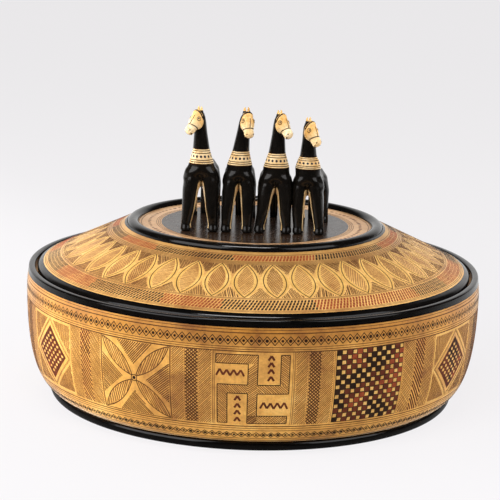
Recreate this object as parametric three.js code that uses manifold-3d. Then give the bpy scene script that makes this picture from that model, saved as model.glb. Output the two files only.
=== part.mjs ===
// Lidded pyxis in the Greek Geometric manner: a wide, low fired-clay bowl on a
// ring foot, and a sloping lid whose handle is a row of four small clay horses.
// Millimetres, +Z up. The origin is the centre of the circle the foot rests on,
// and the horses face -Y.

import * as THREE from 'three';
import { mergeVertices } from 'three/addons/utils/BufferGeometryUtils.js';
import Module from 'manifold-3d';

const manifold = await Module();
manifold.setup();

// Faceting: sides of the wheel-thrown pieces, steps along the wall and along a bead,
// and the sides and rings of each rolled piece of clay
const turnedSides = 52;
const wallSteps = 7;
const beadSteps = 3;
const neckDetail = [14, 10];
const barrelDetail = [14, 6];
const legDetail = [10, 7];
const headDetail = [10, 8];
const earDetail = [6, 4];
const maneDetail = [6, 8];
const tailDetail = [8, 6];

// Clearance left between clay pieces that are luted together or rest on each other
const seam = 0.3;

// Ring foot: a flat band under the bowl with a half-round outer edge
const footHeight = 6.1;
const footRadius = 134.4;
const footBead = 2.4;
const footWidth = 8.2;

// Bowl: the wall flares from the foot, rounds the knee and rises to its widest girth
const bowlRadius = 150;
const girthHeight = 72;
const heelInset = 0.2;
const heelFlare = 10.1;
const heelRise = 6;
const kneeHeight = 31.2;
const bowlWall = 6;
const bowlFloor = 7;

// Rim that stands round the lid, and the gallery inside it that the lid rests on
const rimHeight = 85.5;
const rimLean = 1.1;
const rimThickness = 4.2;
const rimRound = 1;
const galleryDepth = 5.8;
const galleryWidth = 8;
const galleryThickness = 4.5;

// Lid: an edge inside the rim, a straight slope, and a locating ring that hangs below
const lidPlay = 1.6;
const lidEdge = 5.6;
const lidEdgeRound = 2;
const lidRise = 33.3;
const lidWall = 6;
const locatingPlay = 1.2;
const locatingWall = 4.6;
const locatingDepth = 5;

// Disc set into the top of the lid: a dished plate inside a rounded bead
const discRadius = 84.4;
const discPlay = 0.3;
const discThickness = 4.4;
const plateDrop = 0.5;
const discBeadWidth = 7.8;
const discBeadHeight = 3.3;

// Horses, in millimetres above the plate that they stand on and behind the line
// of their fore hooves
const rowFront = -29.5;
const horsePitch = 23.5;
const hoofSpread = 7.7;
const shoulderWidth = 21.7;
const forelegHeight = 32.1;
const strideLength = 48;
const hoofWidth = 7.2;
const hoofHeight = 2.4;
const hoofToe = 0.6;
const fetlockWidth = 6.4;
const fetlockHeight = 4.4;
const kneeWidth = 8.2;
const crotchWidth = 2.6;
const chestWidthTaper = 1.3;
const chestDepth = 16.4;
const chestBack = 4.8;
const chestRise = 4;
const collarLow = 43.6;
const collarLowWidth = 16.4;
const collarLowDepth = 14;
const collarHigh = 53.2;
const collarHighWidth = 10.8;
const collarHighDepth = 11.2;
const throatWidth = 8.2;
const throatDepth = 9;
const pollHeight = 77.2;
const pollWidth = 6;
const pollDepth = 6.9;
const pollRound = 1.6;
const neckLean = 5;
const maneWidth = 2.6;
const barrelRise = 1;
const barrelWidth = 14.4;
const barrelDepth = 13.6;
const bellyTuck = 0.8;
const rumpLength = 5;
const hindSpread = 7.8;
const thighWidth = 7.6;
const thighDepth = 13;
const haunchRise = 5.6;
const haunchInset = 4;
const headDrop = 2.6;
const headLength = 12.9;
const headPitch = 34;
const browWidth = 9.2;
const browDepth = 9.4;
const muzzleWidth = 6.8;
const muzzleDepth = 6.8;
const earLength = 5.2;
const earSpread = 4.6;
const earWidth = 2.9;
const earThickness = 2;
const earSink = 1;
const earTilt = 8;
const tailWidth = 5.4;
const tailDepth = 4.2;

// Heights of the knee and elbow as shares of a foreleg, and of the hock and stifle
// as shares of a hind leg
const kneeShare = 0.42;
const elbowShare = 0.78;
const hockShare = 0.38;
const stifleShare = 0.68;

// The head from behind the poll to the nose: share of its length, how far its size has
// gone from the brow's to the muzzle's, and how full it is of that size
const headShape = [
  [-0.2, 0, 0.52],
  [0, 0, 0.88],
  [0.22, 0, 1],
  [0.46, 0.5, 1],
  [0.68, 1, 0.97],
  [0.84, 1, 1],
  [0.95, 1, 0.82],
  [1, 1, 0.4],
];

// An ear from its root to its tip: share of its length and share of its full size
const earShape = [
  [0, 0.9],
  [0.4, 1],
  [0.75, 0.6],
  [1, 0.2],
];

// The four horses are hand-made, so no two are quite alike, and this is how they differ.
// place is how many horses each stands from the middle of the row; spread, shoulders,
// legs and stride are shares of the sizes above. sway shifts the shoulders and neck to
// the side, lean the head besides, and rise lifts the head, as shares of the poll's
// height. yaw turns the horse and turn and nod turn its head, in degrees.
const horses = [
  {
    place: -1.528, spread: 1.13, shoulders: 1.078, legs: 1.059, stride: 1.125,
    sway: 0.005, lean: -0.025, rise: 0, yaw: -1, turn: -42, nod: 0,
  },
  {
    place: -0.511, spread: 0.87, shoulders: 0.959, legs: 1.009, stride: 1.042,
    sway: 0.009, lean: 0.052, rise: 0.003, yaw: -1, turn: 18, nod: 12,
  },
  {
    place: 0.489, spread: 1.117, shoulders: 1.023, legs: 0.984, stride: 0.958,
    sway: 0.013, lean: 0.019, rise: -0.012, yaw: -1, turn: 42, nod: 0,
  },
  {
    place: 1.472, spread: 0.883, shoulders: 0.94, legs: 0.953, stride: 0.896,
    sway: -0.022, lean: -0.004, rise: -0.065, yaw: -4, turn: 46, nod: 5,
  },
];

// Heights and radii that follow from the sizes above
const heelRadius = footRadius - heelInset;
const bowlBase = footHeight + seam;
const floorTop = bowlBase + bowlFloor;
const mouthRadius = bowlRadius - rimLean;
const rimInside = mouthRadius - rimThickness;
const galleryTop = rimHeight - galleryDepth;
const galleryInside = rimInside - galleryWidth;
const lidRadius = rimInside - lidPlay;
const lidSeat = galleryTop + seam;
const slopeTop = lidSeat + lidRise;
const discSeatRadius = discRadius + discPlay;
const plateTop = slopeTop - plateDrop;
const discBase = plateTop - discThickness;
const discSeat = discBase - seam;
const locatingRadius = galleryInside - locatingPlay;

const clay = { color: 0xc08a43, roughness: 0.45, metalness: 0 };
const blackSlip = { color: 0x0c0b0a, roughness: 0.22, metalness: 0 };
const creamSlip = { color: 0xe2c58e, roughness: 0.4, metalness: 0 };

// Revolve a profile of (radius, height) points about the Z axis
function turned(points) {
  const geometry = new THREE.LatheGeometry(points, turnedSides);
  geometry.rotateX(Math.PI / 2);
  return geometry;
}

// Points of a profile moved towards the clay by a wall's thickness
function offsetInside(points, thickness) {
  return points.map((point, i) => {
    const before = points[Math.max(i - 1, 0)];
    const after = points[Math.min(i + 1, points.length - 1)];
    const along = after.clone().sub(before).normalize();
    return new THREE.Vector2(point.x - along.y * thickness, point.y + along.x * thickness);
  });
}

function footRing() {
  const profile = new THREE.Path();
  const inside = footRadius - footWidth;
  const beadCentre = footRadius - footBead;
  const middle = footHeight / 2;
  profile.moveTo(inside, 0);
  profile.lineTo(beadCentre, 0);
  profile.absellipse(beadCentre, middle, footBead, middle, -Math.PI / 2, Math.PI / 2);
  profile.lineTo(inside, footHeight);
  profile.lineTo(inside, 0);
  return turned(profile.getPoints(beadSteps));
}

// Outside of the wall, from the heel over the knee to the widest girth
function wallOutside() {
  const curve = new THREE.CubicBezierCurve(
    new THREE.Vector2(heelRadius, bowlBase),
    new THREE.Vector2(heelRadius + heelFlare, bowlBase + heelRise),
    new THREE.Vector2(bowlRadius, kneeHeight),
    new THREE.Vector2(bowlRadius, girthHeight),
  );
  return curve.getPoints(wallSteps);
}

function bowl() {
  const outside = wallOutside();
  const galleryUnder = galleryTop - galleryThickness;
  const wallInside = bowlRadius - bowlWall;
  const chamfer = wallInside - galleryInside;
  const inside = offsetInside(outside, bowlWall)
    .filter((point) => point.y > floorTop + seam && point.y < galleryUnder - chamfer)
    .reverse();
  const lowest = inside[inside.length - 1];
  const points = [
    new THREE.Vector2(0, bowlBase),
    ...outside,
    new THREE.Vector2(mouthRadius, rimHeight - rimRound),
    new THREE.Vector2(mouthRadius - rimRound, rimHeight),
    new THREE.Vector2(rimInside + rimRound, rimHeight),
    new THREE.Vector2(rimInside, rimHeight - rimRound),
    new THREE.Vector2(rimInside, galleryTop),
    new THREE.Vector2(galleryInside, galleryTop),
    new THREE.Vector2(galleryInside, galleryUnder),
    new THREE.Vector2(wallInside, galleryUnder - chamfer),
    ...inside,
    new THREE.Vector2(lowest.x - bowlWall, floorTop),
    new THREE.Vector2(0, floorTop),
  ];
  return turned(points);
}

function lidShell() {
  const rise = (slopeTop - lidSeat - lidEdge) / (lidRadius - discSeatRadius);
  const down = lidWall * Math.hypot(1, rise);
  const slopeHeight = (radius) => slopeTop + (discSeatRadius - radius) * rise;
  const roundRadius = lidRadius - lidEdgeRound;
  const roundHeight = lidSeat + lidEdge;
  const eased = lidEdgeRound * (1 - Math.SQRT1_2);
  const locatingInside = locatingRadius - locatingWall;
  const plateUnder = discSeat - lidWall;
  const plateEdge = discSeatRadius + (slopeTop - down - plateUnder) / rise;
  const points = [
    new THREE.Vector2(0, plateUnder),
    new THREE.Vector2(plateEdge, plateUnder),
    new THREE.Vector2(locatingInside, slopeHeight(locatingInside) - down),
    new THREE.Vector2(locatingInside, lidSeat - locatingDepth),
    new THREE.Vector2(locatingRadius, lidSeat - locatingDepth),
    new THREE.Vector2(locatingRadius, lidSeat),
    new THREE.Vector2(lidRadius, lidSeat),
    new THREE.Vector2(lidRadius, roundHeight - lidEdgeRound),
    new THREE.Vector2(lidRadius - eased, roundHeight - eased),
    new THREE.Vector2(roundRadius, slopeHeight(roundRadius)),
    new THREE.Vector2(discSeatRadius, slopeTop),
    new THREE.Vector2(discSeatRadius, discSeat),
    new THREE.Vector2(0, discSeat),
  ];
  return turned(points);
}

function lidDisc() {
  const profile = new THREE.Path();
  const beadHalf = discBeadWidth / 2;
  profile.moveTo(0, discBase);
  profile.lineTo(discRadius, discBase);
  profile.lineTo(discRadius, plateTop);
  profile.absellipse(discRadius - beadHalf, plateTop, beadHalf, discBeadHeight, 0, Math.PI);
  profile.lineTo(0, plateTop);
  return turned(profile.getPoints(beadSteps));
}

function smoothThrough(stations, pointAt) {
  return new THREE.CatmullRomCurve3(stations.map(pointAt), false, 'centripetal');
}

// A rolled and pinched piece of clay: ellipses stacked along +Z. Each station is
// [height, x, y, width, depth]; the stations are joined by smooth curves.
function rolled(stations, [sides, rings]) {
  const centres = smoothThrough(stations, ([z, x, y]) => new THREE.Vector3(x, y, z));
  const sizes = smoothThrough(stations, ([z, , , width, depth]) => new THREE.Vector3(width, depth, z));
  const positions = [];
  for (let ring = 0; ring <= rings; ring += 1) {
    const centre = centres.getPoint(ring / rings);
    const half = sizes.getPoint(ring / rings).multiplyScalar(0.5);
    for (let side = 0; side < sides; side += 1) {
      const angle = (side / sides) * 2 * Math.PI;
      const x = centre.x + half.x * Math.cos(angle);
      const y = centre.y + half.y * Math.sin(angle);
      positions.push(x, y, centre.z);
    }
  }
  const bottom = sides * (rings + 1);
  const top = bottom + 1;
  positions.push(...centres.getPoint(0), ...centres.getPoint(1));
  const geometry = new THREE.BufferGeometry();
  geometry.setAttribute('position', new THREE.Float32BufferAttribute(positions, 3));
  geometry.setIndex(rolledFaces(sides, rings, bottom, top));
  return geometry;
}

// Triangles of a stack of rings, closed by a fan round the bottom and top points
function rolledFaces(sides, rings, bottom, top) {
  const faces = [];
  for (let side = 0; side < sides; side += 1) {
    const next = (side + 1) % sides;
    for (let ring = 0; ring < rings; ring += 1) {
      const low = ring * sides;
      const high = low + sides;
      faces.push(low + side, low + next, high + next);
      faces.push(low + side, high + next, high + side);
    }
    faces.push(bottom, next, side);
    faces.push(top, rings * sides + side, rings * sides + next);
  }
  return faces;
}

// The same stations with the seam's clearance added all round and at both ends
function withSeam(stations) {
  const last = stations.length - 1;
  return stations.map(([z, x, y, width, depth], i) => {
    const height = z - (i === 0 ? seam : 0) + (i === last ? seam : 0);
    return [height, x, y, width + 2 * seam, depth + 2 * seam];
  });
}

function solidOf(geometry) {
  const bare = geometry.clone();
  bare.deleteAttribute('normal');
  bare.deleteAttribute('uv');
  const merged = mergeVertices(bare, 1e-5);
  return new manifold.Manifold(new manifold.Mesh({
    numProp: 3,
    vertProperties: new Float32Array(merged.attributes.position.array),
    triVerts: new Uint32Array(merged.index.array),
  }));
}

function geometryOf(solid) {
  const mesh = solid.getMesh();
  const geometry = new THREE.BufferGeometry();
  geometry.setAttribute('position', new THREE.Float32BufferAttribute(mesh.vertProperties, 3));
  geometry.setIndex(Array.from(mesh.triVerts));
  return geometry;
}

// Cut the clay away where the pieces it is luted to lie, seam included, and keep the
// main body without the crumbs that a grazing cut leaves
function fitted(geometry, neighbours) {
  let solid = solidOf(geometry);
  for (const neighbour of neighbours) {
    solid = solid.subtract(solidOf(neighbour));
  }
  const bodies = solid.decompose().sort((a, b) => b.volume() - a.volume());
  return geometryOf(bodies[0]);
}

const between = THREE.MathUtils.lerp;
const radians = THREE.MathUtils.degToRad;

// The sizes of one horse in millimetres
function sizesOf(horse) {
  return {
    spread: horse.spread * hoofSpread,
    shoulders: horse.shoulders * shoulderWidth,
    legs: horse.legs * forelegHeight,
    stride: horse.stride * strideLength,
    sway: horse.sway * pollHeight,
    lean: horse.lean * pollHeight,
    rise: horse.rise * pollHeight,
    turn: horse.turn,
    nod: horse.nod,
  };
}

// One station of a foreleg between its outer and inner edges, measured from the middle
function legStation(z, side, middle, [outer, inner], y, depth) {
  return [z, middle + side * (outer + inner) / 2, y, outer - inner, depth];
}

function forelegStations(horse, side) {
  const knee = horse.legs * kneeShare;
  const elbow = horse.legs * elbowShare;
  const wide = horse.shoulders / 2;
  const hoof = [horse.spread + hoofWidth / 2, horse.spread - hoofWidth / 2];
  const fetlock = [horse.spread + fetlockWidth / 2, horse.spread - fetlockWidth / 2];
  const forward = (share) => chestBack * share * share;
  return [
    legStation(seam, side, 0, hoof, -hoofToe, hoofWidth + hoofToe),
    legStation(hoofHeight, side, 0, hoof, -hoofToe / 2, hoofWidth),
    legStation(fetlockHeight, side, 0, fetlock, 0, fetlockWidth),
    legStation(knee, side, horse.sway * kneeShare, [wide, wide - kneeWidth],
      forward(kneeShare), kneeWidth),
    legStation(elbow, side, horse.sway * elbowShare, [wide, crotchWidth / 2],
      forward(elbowShare), between(kneeWidth, chestDepth, 0.5)),
    legStation(horse.legs, side, horse.sway, [wide - chestWidthTaper / 2, seam / 2],
      chestBack, chestDepth),
  ];
}

function hindlegStations(horse, side) {
  const back = horse.stride;
  const hip = horse.legs + barrelRise;
  const out = side * hindSpread;
  const haunch = side * (hindSpread - haunchInset);
  return [
    [seam, out, back - hoofToe, hoofWidth, hoofWidth + hoofToe],
    [hoofHeight, out, back - hoofToe / 2, hoofWidth, hoofWidth],
    [fetlockHeight, out, back, fetlockWidth, fetlockWidth],
    [hip * hockShare, out, back + hoofToe, fetlockWidth, kneeWidth],
    [hip * stifleShare, out, back, thighWidth, between(kneeWidth, thighDepth, 0.5)],
    [hip, between(out, haunch, 0.5), back - hoofToe, thighWidth, thighDepth],
    [hip + haunchRise, haunch, back - hoofToe, thighWidth / 3, thighDepth / 3],
  ];
}

// Chest, withers and neck in one piece, from the seam on the forelegs to the poll
function neckStations(horse) {
  const chest = horse.legs + seam;
  const top = pollHeight + horse.rise;
  const collarTop = collarHigh + horse.rise / 2;
  const collarMid = (collarLow + collarTop) / 2;
  const throat = (collarTop + top) / 2;
  const poll = top - pollRound;
  const breast = horse.shoulders - chestWidthTaper;
  const sections = [
    [chest, breast, chestDepth],
    [chest + chestRise, breast - chestWidthTaper, chestDepth],
    [collarLow, collarLowWidth, collarLowDepth],
    [collarMid, (collarLowWidth + collarHighWidth) / 2, (collarLowDepth + collarHighDepth) / 2],
    [collarTop, collarHighWidth, collarHighDepth],
    [throat, throatWidth, throatDepth],
    [(throat + poll) / 2, between(throatWidth, pollWidth, 0.3), between(throatDepth, pollDepth, 0.3)],
    [poll, pollWidth, pollDepth],
    [top, pollWidth / 2, pollDepth / 2],
  ];
  return sections.map(([z, width, depth]) => {
    const up = (z - chest) / (top - chest);
    return [z, horse.sway + horse.lean * up * up, chestBack - neckLean * up, width, depth];
  });
}

// Mane: a thin roll along the nape that turns with the head as it rises
function maneStations(horse) {
  const nape = neckStations(horse).slice(1, -1);
  const last = nape.length - 1;
  return nape.map(([z, x, y, width, depth], i) => {
    const angle = radians(horse.turn) * (i / last) ** 2;
    const thick = i === 0 || i === last ? maneWidth / 2 : maneWidth;
    const across = x - (width / 2) * Math.sin(angle);
    const behind = y + (depth / 2) * Math.cos(angle);
    return [z, across, behind, thick, thick];
  });
}

// Barrel from the chest to the rump, rolled along +Z and laid along +Y
function barrelStations(horse) {
  const height = horse.legs + barrelRise;
  const end = horse.stride + rumpLength;
  const flank = chestBack + chestDepth / 3;
  const haunch = horse.stride - thighDepth / 2;
  return [
    [chestBack, 0, height, barrelWidth - bellyTuck, barrelDepth - bellyTuck],
    [flank, 0, height, barrelWidth, barrelDepth],
    [(flank + haunch) / 2, 0, height - bellyTuck, barrelWidth - bellyTuck, barrelDepth - bellyTuck],
    [haunch, 0, height, barrelWidth, barrelDepth],
    [end - rumpLength / 2, 0, height, barrelWidth * 0.8, barrelDepth * 0.86],
    [end, 0, height - bellyTuck / 2, barrelWidth * 0.36, barrelDepth * 0.44],
  ];
}

function layAlongY(geometry) {
  // (x, y, z) becomes (-x, z, y), which turns the piece without mirroring it
  const turn = new THREE.Matrix4().set(-1, 0, 0, 0, 0, 0, 1, 0, 0, 1, 0, 0, 0, 0, 0, 1);
  return geometry.applyMatrix4(turn);
}

function headStations() {
  return headShape.map(([along, narrowed, fullness]) => {
    const width = between(browWidth, muzzleWidth, narrowed) * fullness;
    const depth = between(browDepth, muzzleDepth, narrowed) * fullness;
    return [headLength * along, 0, 0, width, depth];
  });
}

function earStations(side) {
  return earShape.map(([along, fullness]) => {
    const across = side * (earSpread / 2 - along * earThickness / 8);
    return [earLength * along, across, 0, earWidth * fullness, earThickness * fullness];
  });
}

// Tail: a thick roll from the top of the rump straight down to the plate
function tailStations(horse) {
  const end = horse.stride + rumpLength;
  const root = horse.legs + barrelRise + barrelDepth / 2 - bellyTuck;
  const back = end + tailDepth / 2;
  return [
    [seam, 0, back, tailWidth, tailDepth],
    [root / 3, 0, back, tailWidth, tailDepth],
    [root * 2 / 3, 0, back, tailWidth, tailDepth],
    [root - tailDepth / 2, 0, end - tailDepth / 4, tailWidth * 0.8, tailDepth],
    [root, 0, end - tailDepth * 0.7, tailWidth * 0.4, tailDepth * 0.6],
  ];
}

// Turn a piece with the head and lift it to the poll
function toPoll(geometry, horse) {
  geometry.rotateZ(radians(horse.turn));
  const height = pollHeight - headDrop + horse.rise;
  return geometry.translate(horse.sway + horse.lean, chestBack - neckLean, height);
}

// Place a piece built along the head's own axis: +Z from the poll to the muzzle
function placeHead(geometry, horse) {
  geometry.rotateX(radians(90 + headPitch + horse.nod));
  return toPoll(geometry, horse);
}

function placeEar(geometry, horse) {
  geometry.rotateX(radians(-earTilt));
  geometry.translate(0, 0, headDrop - earSink);
  return toPoll(geometry, horse);
}

// The pieces of one horse in its own frame, by name. Forelegs carry the neck, the
// barrel is cut to both, and everything else is cut to the barrel, neck or head.
function horsePieces(horse) {
  const rolledOut = {
    neck: [neckStations(horse), neckDetail, (geometry) => geometry],
    barrel: [barrelStations(horse), barrelDetail, layAlongY],
    head: [headStations(), headDetail, (geometry) => placeHead(geometry, horse)],
  };
  const made = (name) => {
    const [stations, detail, place] = rolledOut[name];
    return place(rolled(stations, detail));
  };
  const room = (name) => {
    const [stations, detail, place] = rolledOut[name];
    return place(rolled(withSeam(stations), detail));
  };
  const pieces = { neck: made('neck'), head: fitted(made('head'), [room('neck')]) };
  const mane = rolled(maneStations(horse), maneDetail);
  pieces.mane = fitted(mane, [room('neck'), room('head'), room('barrel')]);
  pieces.tail = fitted(rolled(tailStations(horse), tailDetail), [room('barrel')]);
  const forelegRooms = [];
  for (const [name, side] of [['left', -1], ['right', 1]]) {
    const foreleg = forelegStations(horse, side);
    const hindleg = rolled(hindlegStations(horse, side), legDetail);
    const ear = placeEar(rolled(earStations(side), earDetail), horse);
    pieces[`foreleg_${name}`] = rolled(foreleg, legDetail);
    pieces[`hindleg_${name}`] = fitted(hindleg, [room('barrel')]);
    pieces[`ear_${name}`] = fitted(ear, [room('head'), room('neck')]);
    forelegRooms.push(rolled(withSeam(foreleg), legDetail));
  }
  pieces.barrel = fitted(made('barrel'), [room('neck'), ...forelegRooms]);
  return pieces;
}

function namedMesh(name, geometry, finish) {
  const mesh = new THREE.Mesh(geometry, new THREE.MeshStandardMaterial(finish));
  mesh.name = name;
  return mesh;
}

const pyxis = new THREE.Group();
pyxis.add(
  namedMesh('foot_ring', footRing(), blackSlip),
  namedMesh('bowl', bowl(), clay),
  namedMesh('lid_shell', lidShell(), clay),
  namedMesh('lid_disc', lidDisc(), creamSlip),
);

horses.forEach((horse, i) => {
  const group = new THREE.Group();
  group.position.set(horse.place * horsePitch, rowFront, plateTop);
  group.rotation.z = radians(horse.yaw);
  for (const [name, geometry] of Object.entries(horsePieces(sizesOf(horse)))) {
    const finish = name === 'head' || name.startsWith('ear') ? creamSlip : blackSlip;
    group.add(namedMesh(`horse_${i + 1}_${name}`, geometry, finish));
  }
  pyxis.add(group);
});

export default pyxis;
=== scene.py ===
# %% [markdown]
# # A painted clay box with four horses on its lid
# The real thing is a low round box of fired clay, thrown on a wheel and painted
# with a fine brush. A ring foot carries a wide bowl, a sloping lid drops inside the
# bowl's rim, and four little hand-rolled horses stand on a dished disc to make the
# handle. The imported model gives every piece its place, in metres. This script works
# out finer surfaces with numpy, paints them, and lights them as a plain studio does.

# %% Load the frame
import math

import bmesh
import bpy
import numpy as np
from mathutils import Matrix, Vector


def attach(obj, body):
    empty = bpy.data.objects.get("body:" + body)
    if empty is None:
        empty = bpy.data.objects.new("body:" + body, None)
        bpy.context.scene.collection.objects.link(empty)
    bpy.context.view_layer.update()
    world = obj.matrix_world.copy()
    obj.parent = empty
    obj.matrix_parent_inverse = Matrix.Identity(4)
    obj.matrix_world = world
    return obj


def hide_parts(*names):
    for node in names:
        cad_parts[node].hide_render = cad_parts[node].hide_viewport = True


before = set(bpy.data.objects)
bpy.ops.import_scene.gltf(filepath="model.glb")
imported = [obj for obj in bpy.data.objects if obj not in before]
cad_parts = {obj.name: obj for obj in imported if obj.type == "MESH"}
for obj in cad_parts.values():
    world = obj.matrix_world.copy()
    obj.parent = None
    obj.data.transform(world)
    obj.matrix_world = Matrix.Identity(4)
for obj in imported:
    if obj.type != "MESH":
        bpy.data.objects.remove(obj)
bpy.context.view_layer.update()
scene = bpy.context.scene
MM = 0.001
chance = np.random.default_rng(7)

# %% [markdown]
# ## Camera
# The photograph looks down at the box by about twelve and a half degrees from a
# little over a metre away, with the camera tipped very slightly to one side. A long
# lens keeps the ellipses flat. The small sideways shift puts the box where it stands
# in the picture.

# %% Place the camera
look_down = math.radians(90 - 12.56)
sideways_tip = math.radians(1.7)
camera_data = bpy.data.cameras.new("camera")
camera_data.lens = 127.15
camera_data.sensor_width = 36
camera_data.shift_x = -0.0084
camera = bpy.data.objects.new("camera", camera_data)
scene.collection.objects.link(camera)
camera.matrix_world = (Matrix.Translation((0, -1.1479, 0.3504))
                       @ Matrix.Rotation(look_down, 4, "X")
                       @ Matrix.Rotation(sideways_tip, 4, "Z"))
scene.camera = camera
scene.view_settings.view_transform = "Standard"
print("camera at", [round(v, 4) for v in camera.matrix_world.translation])

# %% [markdown]
# ## Studio
# The box stands on a white sheet in soft light from both sides and from above. The
# sheet and the world look white to the camera through the Light Path node, so that no
# lamp has to be turned up to bleach them. Reflections see a plain studio: white behind
# the box, which edges the glossy clay with light, and dark on the camera's side. Two
# low lamps at the sides lift the edges of the wall, and the gloss doesn't mirror them.

# %% Short ways to add shader nodes
def node(tree, kind, inputs=None, **settings):
    """Add a node. An input given a socket is linked, and any other value is set on it."""
    made = tree.nodes.new(kind)
    for name, value in settings.items():
        setattr(made, name, value)
    for name, value in (inputs or {}).items():
        if isinstance(value, bpy.types.NodeSocket):
            tree.links.new(value, made.inputs[name])
        else:
            made.inputs[name].default_value = value
    return made


def maths(tree, kind, *values):
    """A math node of a kind, on one to three numbers or sockets."""
    return node(tree, "ShaderNodeMath", dict(enumerate(values)), operation=kind).outputs[0]


def mixed(tree, share, first, second):
    """A share of the second shader with the rest of the first."""
    return node(tree, "ShaderNodeMixShader", {0: share, 1: first.outputs[0],
                                              2: second.outputs[0]})


def seen_directly(tree):
    """1 for rays from the camera and through glass, and 0 for others."""
    path = node(tree, "ShaderNodeLightPath")
    return maths(tree, "MAXIMUM", path.outputs["Is Camera Ray"],
                 path.outputs["Is Transmission Ray"])


def fading(tree, value, low, high, first, last):
    """A number that changes smoothly from the first to the last between two values."""
    return node(tree, "ShaderNodeMapRange", {"Value": value, "From Min": low, "From Max": high,
                                             "To Min": first, "To Max": last},
                interpolation_type="SMOOTHSTEP").outputs[0]


def place(tree, axis):
    """One of the Object coordinates, in metres."""
    where = node(tree, "ShaderNodeTexCoord").outputs["Object"]
    return node(tree, "ShaderNodeSeparateXYZ", {"Vector": where}).outputs[axis]


# %% World
backdrop_white = (0.86, 0.845, 0.87, 1)
world = bpy.data.worlds.new("studio")
scene.world = world
world.use_nodes = True
tree = world.node_tree
tree.nodes.clear()
shown = node(tree, "ShaderNodeBackground", {"Color": backdrop_white, "Strength": 1.0})
direction = node(tree, "ShaderNodeSeparateXYZ",
                 {"Vector": node(tree, "ShaderNodeTexCoord").outputs["Generated"]})
soft = fading(tree, direction.outputs["Y"], -0.15, 0.45, 0.1, 0.95)
mirror = fading(tree, direction.outputs["Y"], 0.6, 0.9, 0.03, 0.85)
glossy = node(tree, "ShaderNodeLightPath").outputs["Is Glossy Ray"]
behind = node(tree, "ShaderNodeMix", {0: glossy, 2: soft, 3: mirror}).outputs[0]
around_it = node(tree, "ShaderNodeBackground", {"Color": (1, 0.99, 0.98, 1),
                                                "Strength": behind})
studio = mixed(tree, seen_directly(tree), around_it, shown)
node(tree, "ShaderNodeOutputWorld", {"Surface": studio.outputs[0]})

# %% Floor
floor_reach = 6.0
floor_mesh = bpy.data.meshes.new("floor")
floor_mesh.from_pydata([(-floor_reach, -floor_reach, 0), (floor_reach, -floor_reach, 0),
                        (floor_reach, floor_reach, 0), (-floor_reach, floor_reach, 0)],
                       [], [(0, 1, 2, 3)])
floor = bpy.data.objects.new("floor", floor_mesh)
scene.collection.objects.link(floor)
sheet = bpy.data.materials.new("white_sheet")
sheet.use_nodes = True
tree = sheet.node_tree
tree.nodes.clear()
matt = node(tree, "ShaderNodeBsdfDiffuse", {"Color": (0.8, 0.79, 0.8, 1)})
# Painted light on the sheet: its glow is a little brighter to the left and darker to the right,
# and in reflections it is painted dark in front and bright behind.
towards_right = maths(tree, "MULTIPLY_ADD", place(tree, "Y"), 0.7, place(tree, "X"))
glow = node(tree, "ShaderNodeEmission", {
    "Color": (0.92, 0.905, 0.92, 1),
    "Strength": fading(tree, towards_right, 0.0, 0.32, 1.0, 0.93)})
glow_share = maths(tree, "MULTIPLY", seen_directly(tree), 0.92)
reflected = node(tree, "ShaderNodeEmission", {
    "Strength": fading(tree, place(tree, "Y"), -0.3, 0.5, 0.05, 0.9)})
glossy = node(tree, "ShaderNodeLightPath").outputs["Is Glossy Ray"]
sheet_look = mixed(tree, glossy, mixed(tree, glow_share, matt, glow), reflected)
node(tree, "ShaderNodeOutputMaterial", {"Surface": sheet_look.outputs[0]})
floor_mesh.materials.append(sheet)


# %% Lamps
def softbox(name, at, size, power, mirrored=True):
    """A flat rectangular lamp that faces the box. The gloss shows it if it is mirrored."""
    box_middle = Vector((0, 0, 0.08))
    data = bpy.data.lights.new(name, "AREA")
    data.shape = "RECTANGLE"
    data.size, data.size_y = size
    data.energy = power
    lamp = bpy.data.objects.new(name, data)
    scene.collection.objects.link(lamp)
    lamp.location = at
    lamp.rotation_euler = (box_middle - Vector(at)).to_track_quat("-Z", "Y").to_euler()
    lamp.visible_glossy = mirrored


softbox("left_box", (-1.1, -0.85, 0.85), (1.5, 1.3), 17.3)
softbox("right_box", (1.15, -0.8, 0.9), (1.2, 1.1), 9.5)
softbox("top_box", (-0.1, -0.5, 1.6), (0.8, 0.35), 14.5)
softbox("left_edge", (-1.05, 0.2, 0.2), (0.9, 0.5), 24, mirrored=False)
softbox("right_edge", (1.05, 0.25, 0.3), (0.9, 0.6), 8.5, mirrored=False)
print("lamps:", [lamp.name for lamp in bpy.data.lights])

# %% [markdown]
# ## Materials
# Fired clay is never one colour: the kiln leaves clouds of gold, ochre and brown, and
# a fine grain on top. The black is a slip, a wash of very fine clay that fires to a
# gloss, thick in one place and thin in the next. Noise at four sizes, read from
# Object coordinates, drives colour, roughness and bump.

# %% Clay, slips and brush colours
def noise(tree, where, scale, detail, roughness=0.5):
    """Soft noise between 0 and 1. The scale is in features per metre."""
    return node(tree, "ShaderNodeTexNoise", {"Vector": where, "Scale": scale, "Detail": detail,
                                             "Roughness": roughness}).outputs["Fac"]


def ramp(tree, factor, *stops):
    """A colour ramp through (position, colour) stops."""
    made = node(tree, "ShaderNodeValToRGB", {"Fac": factor})
    elements = made.color_ramp.elements
    while len(elements) < len(stops):
        elements.new(0.5)
    for element, (position, colour) in zip(elements, stops):
        element.position = position
        element.color = (*colour, 1)
    return made.outputs["Color"]


def mix(tree, factor, first, second, blend="MIX"):
    """Mix two colours."""
    made = node(tree, "ShaderNodeMix", data_type="RGBA", blend_type=blend)
    for socket, value in zip((made.inputs[0], made.inputs[6], made.inputs[7]),
                             (factor, first, second)):
        if isinstance(value, bpy.types.NodeSocket):
            tree.links.new(value, socket)
        else:
            socket.default_value = value
    return made.outputs[2]


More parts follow.
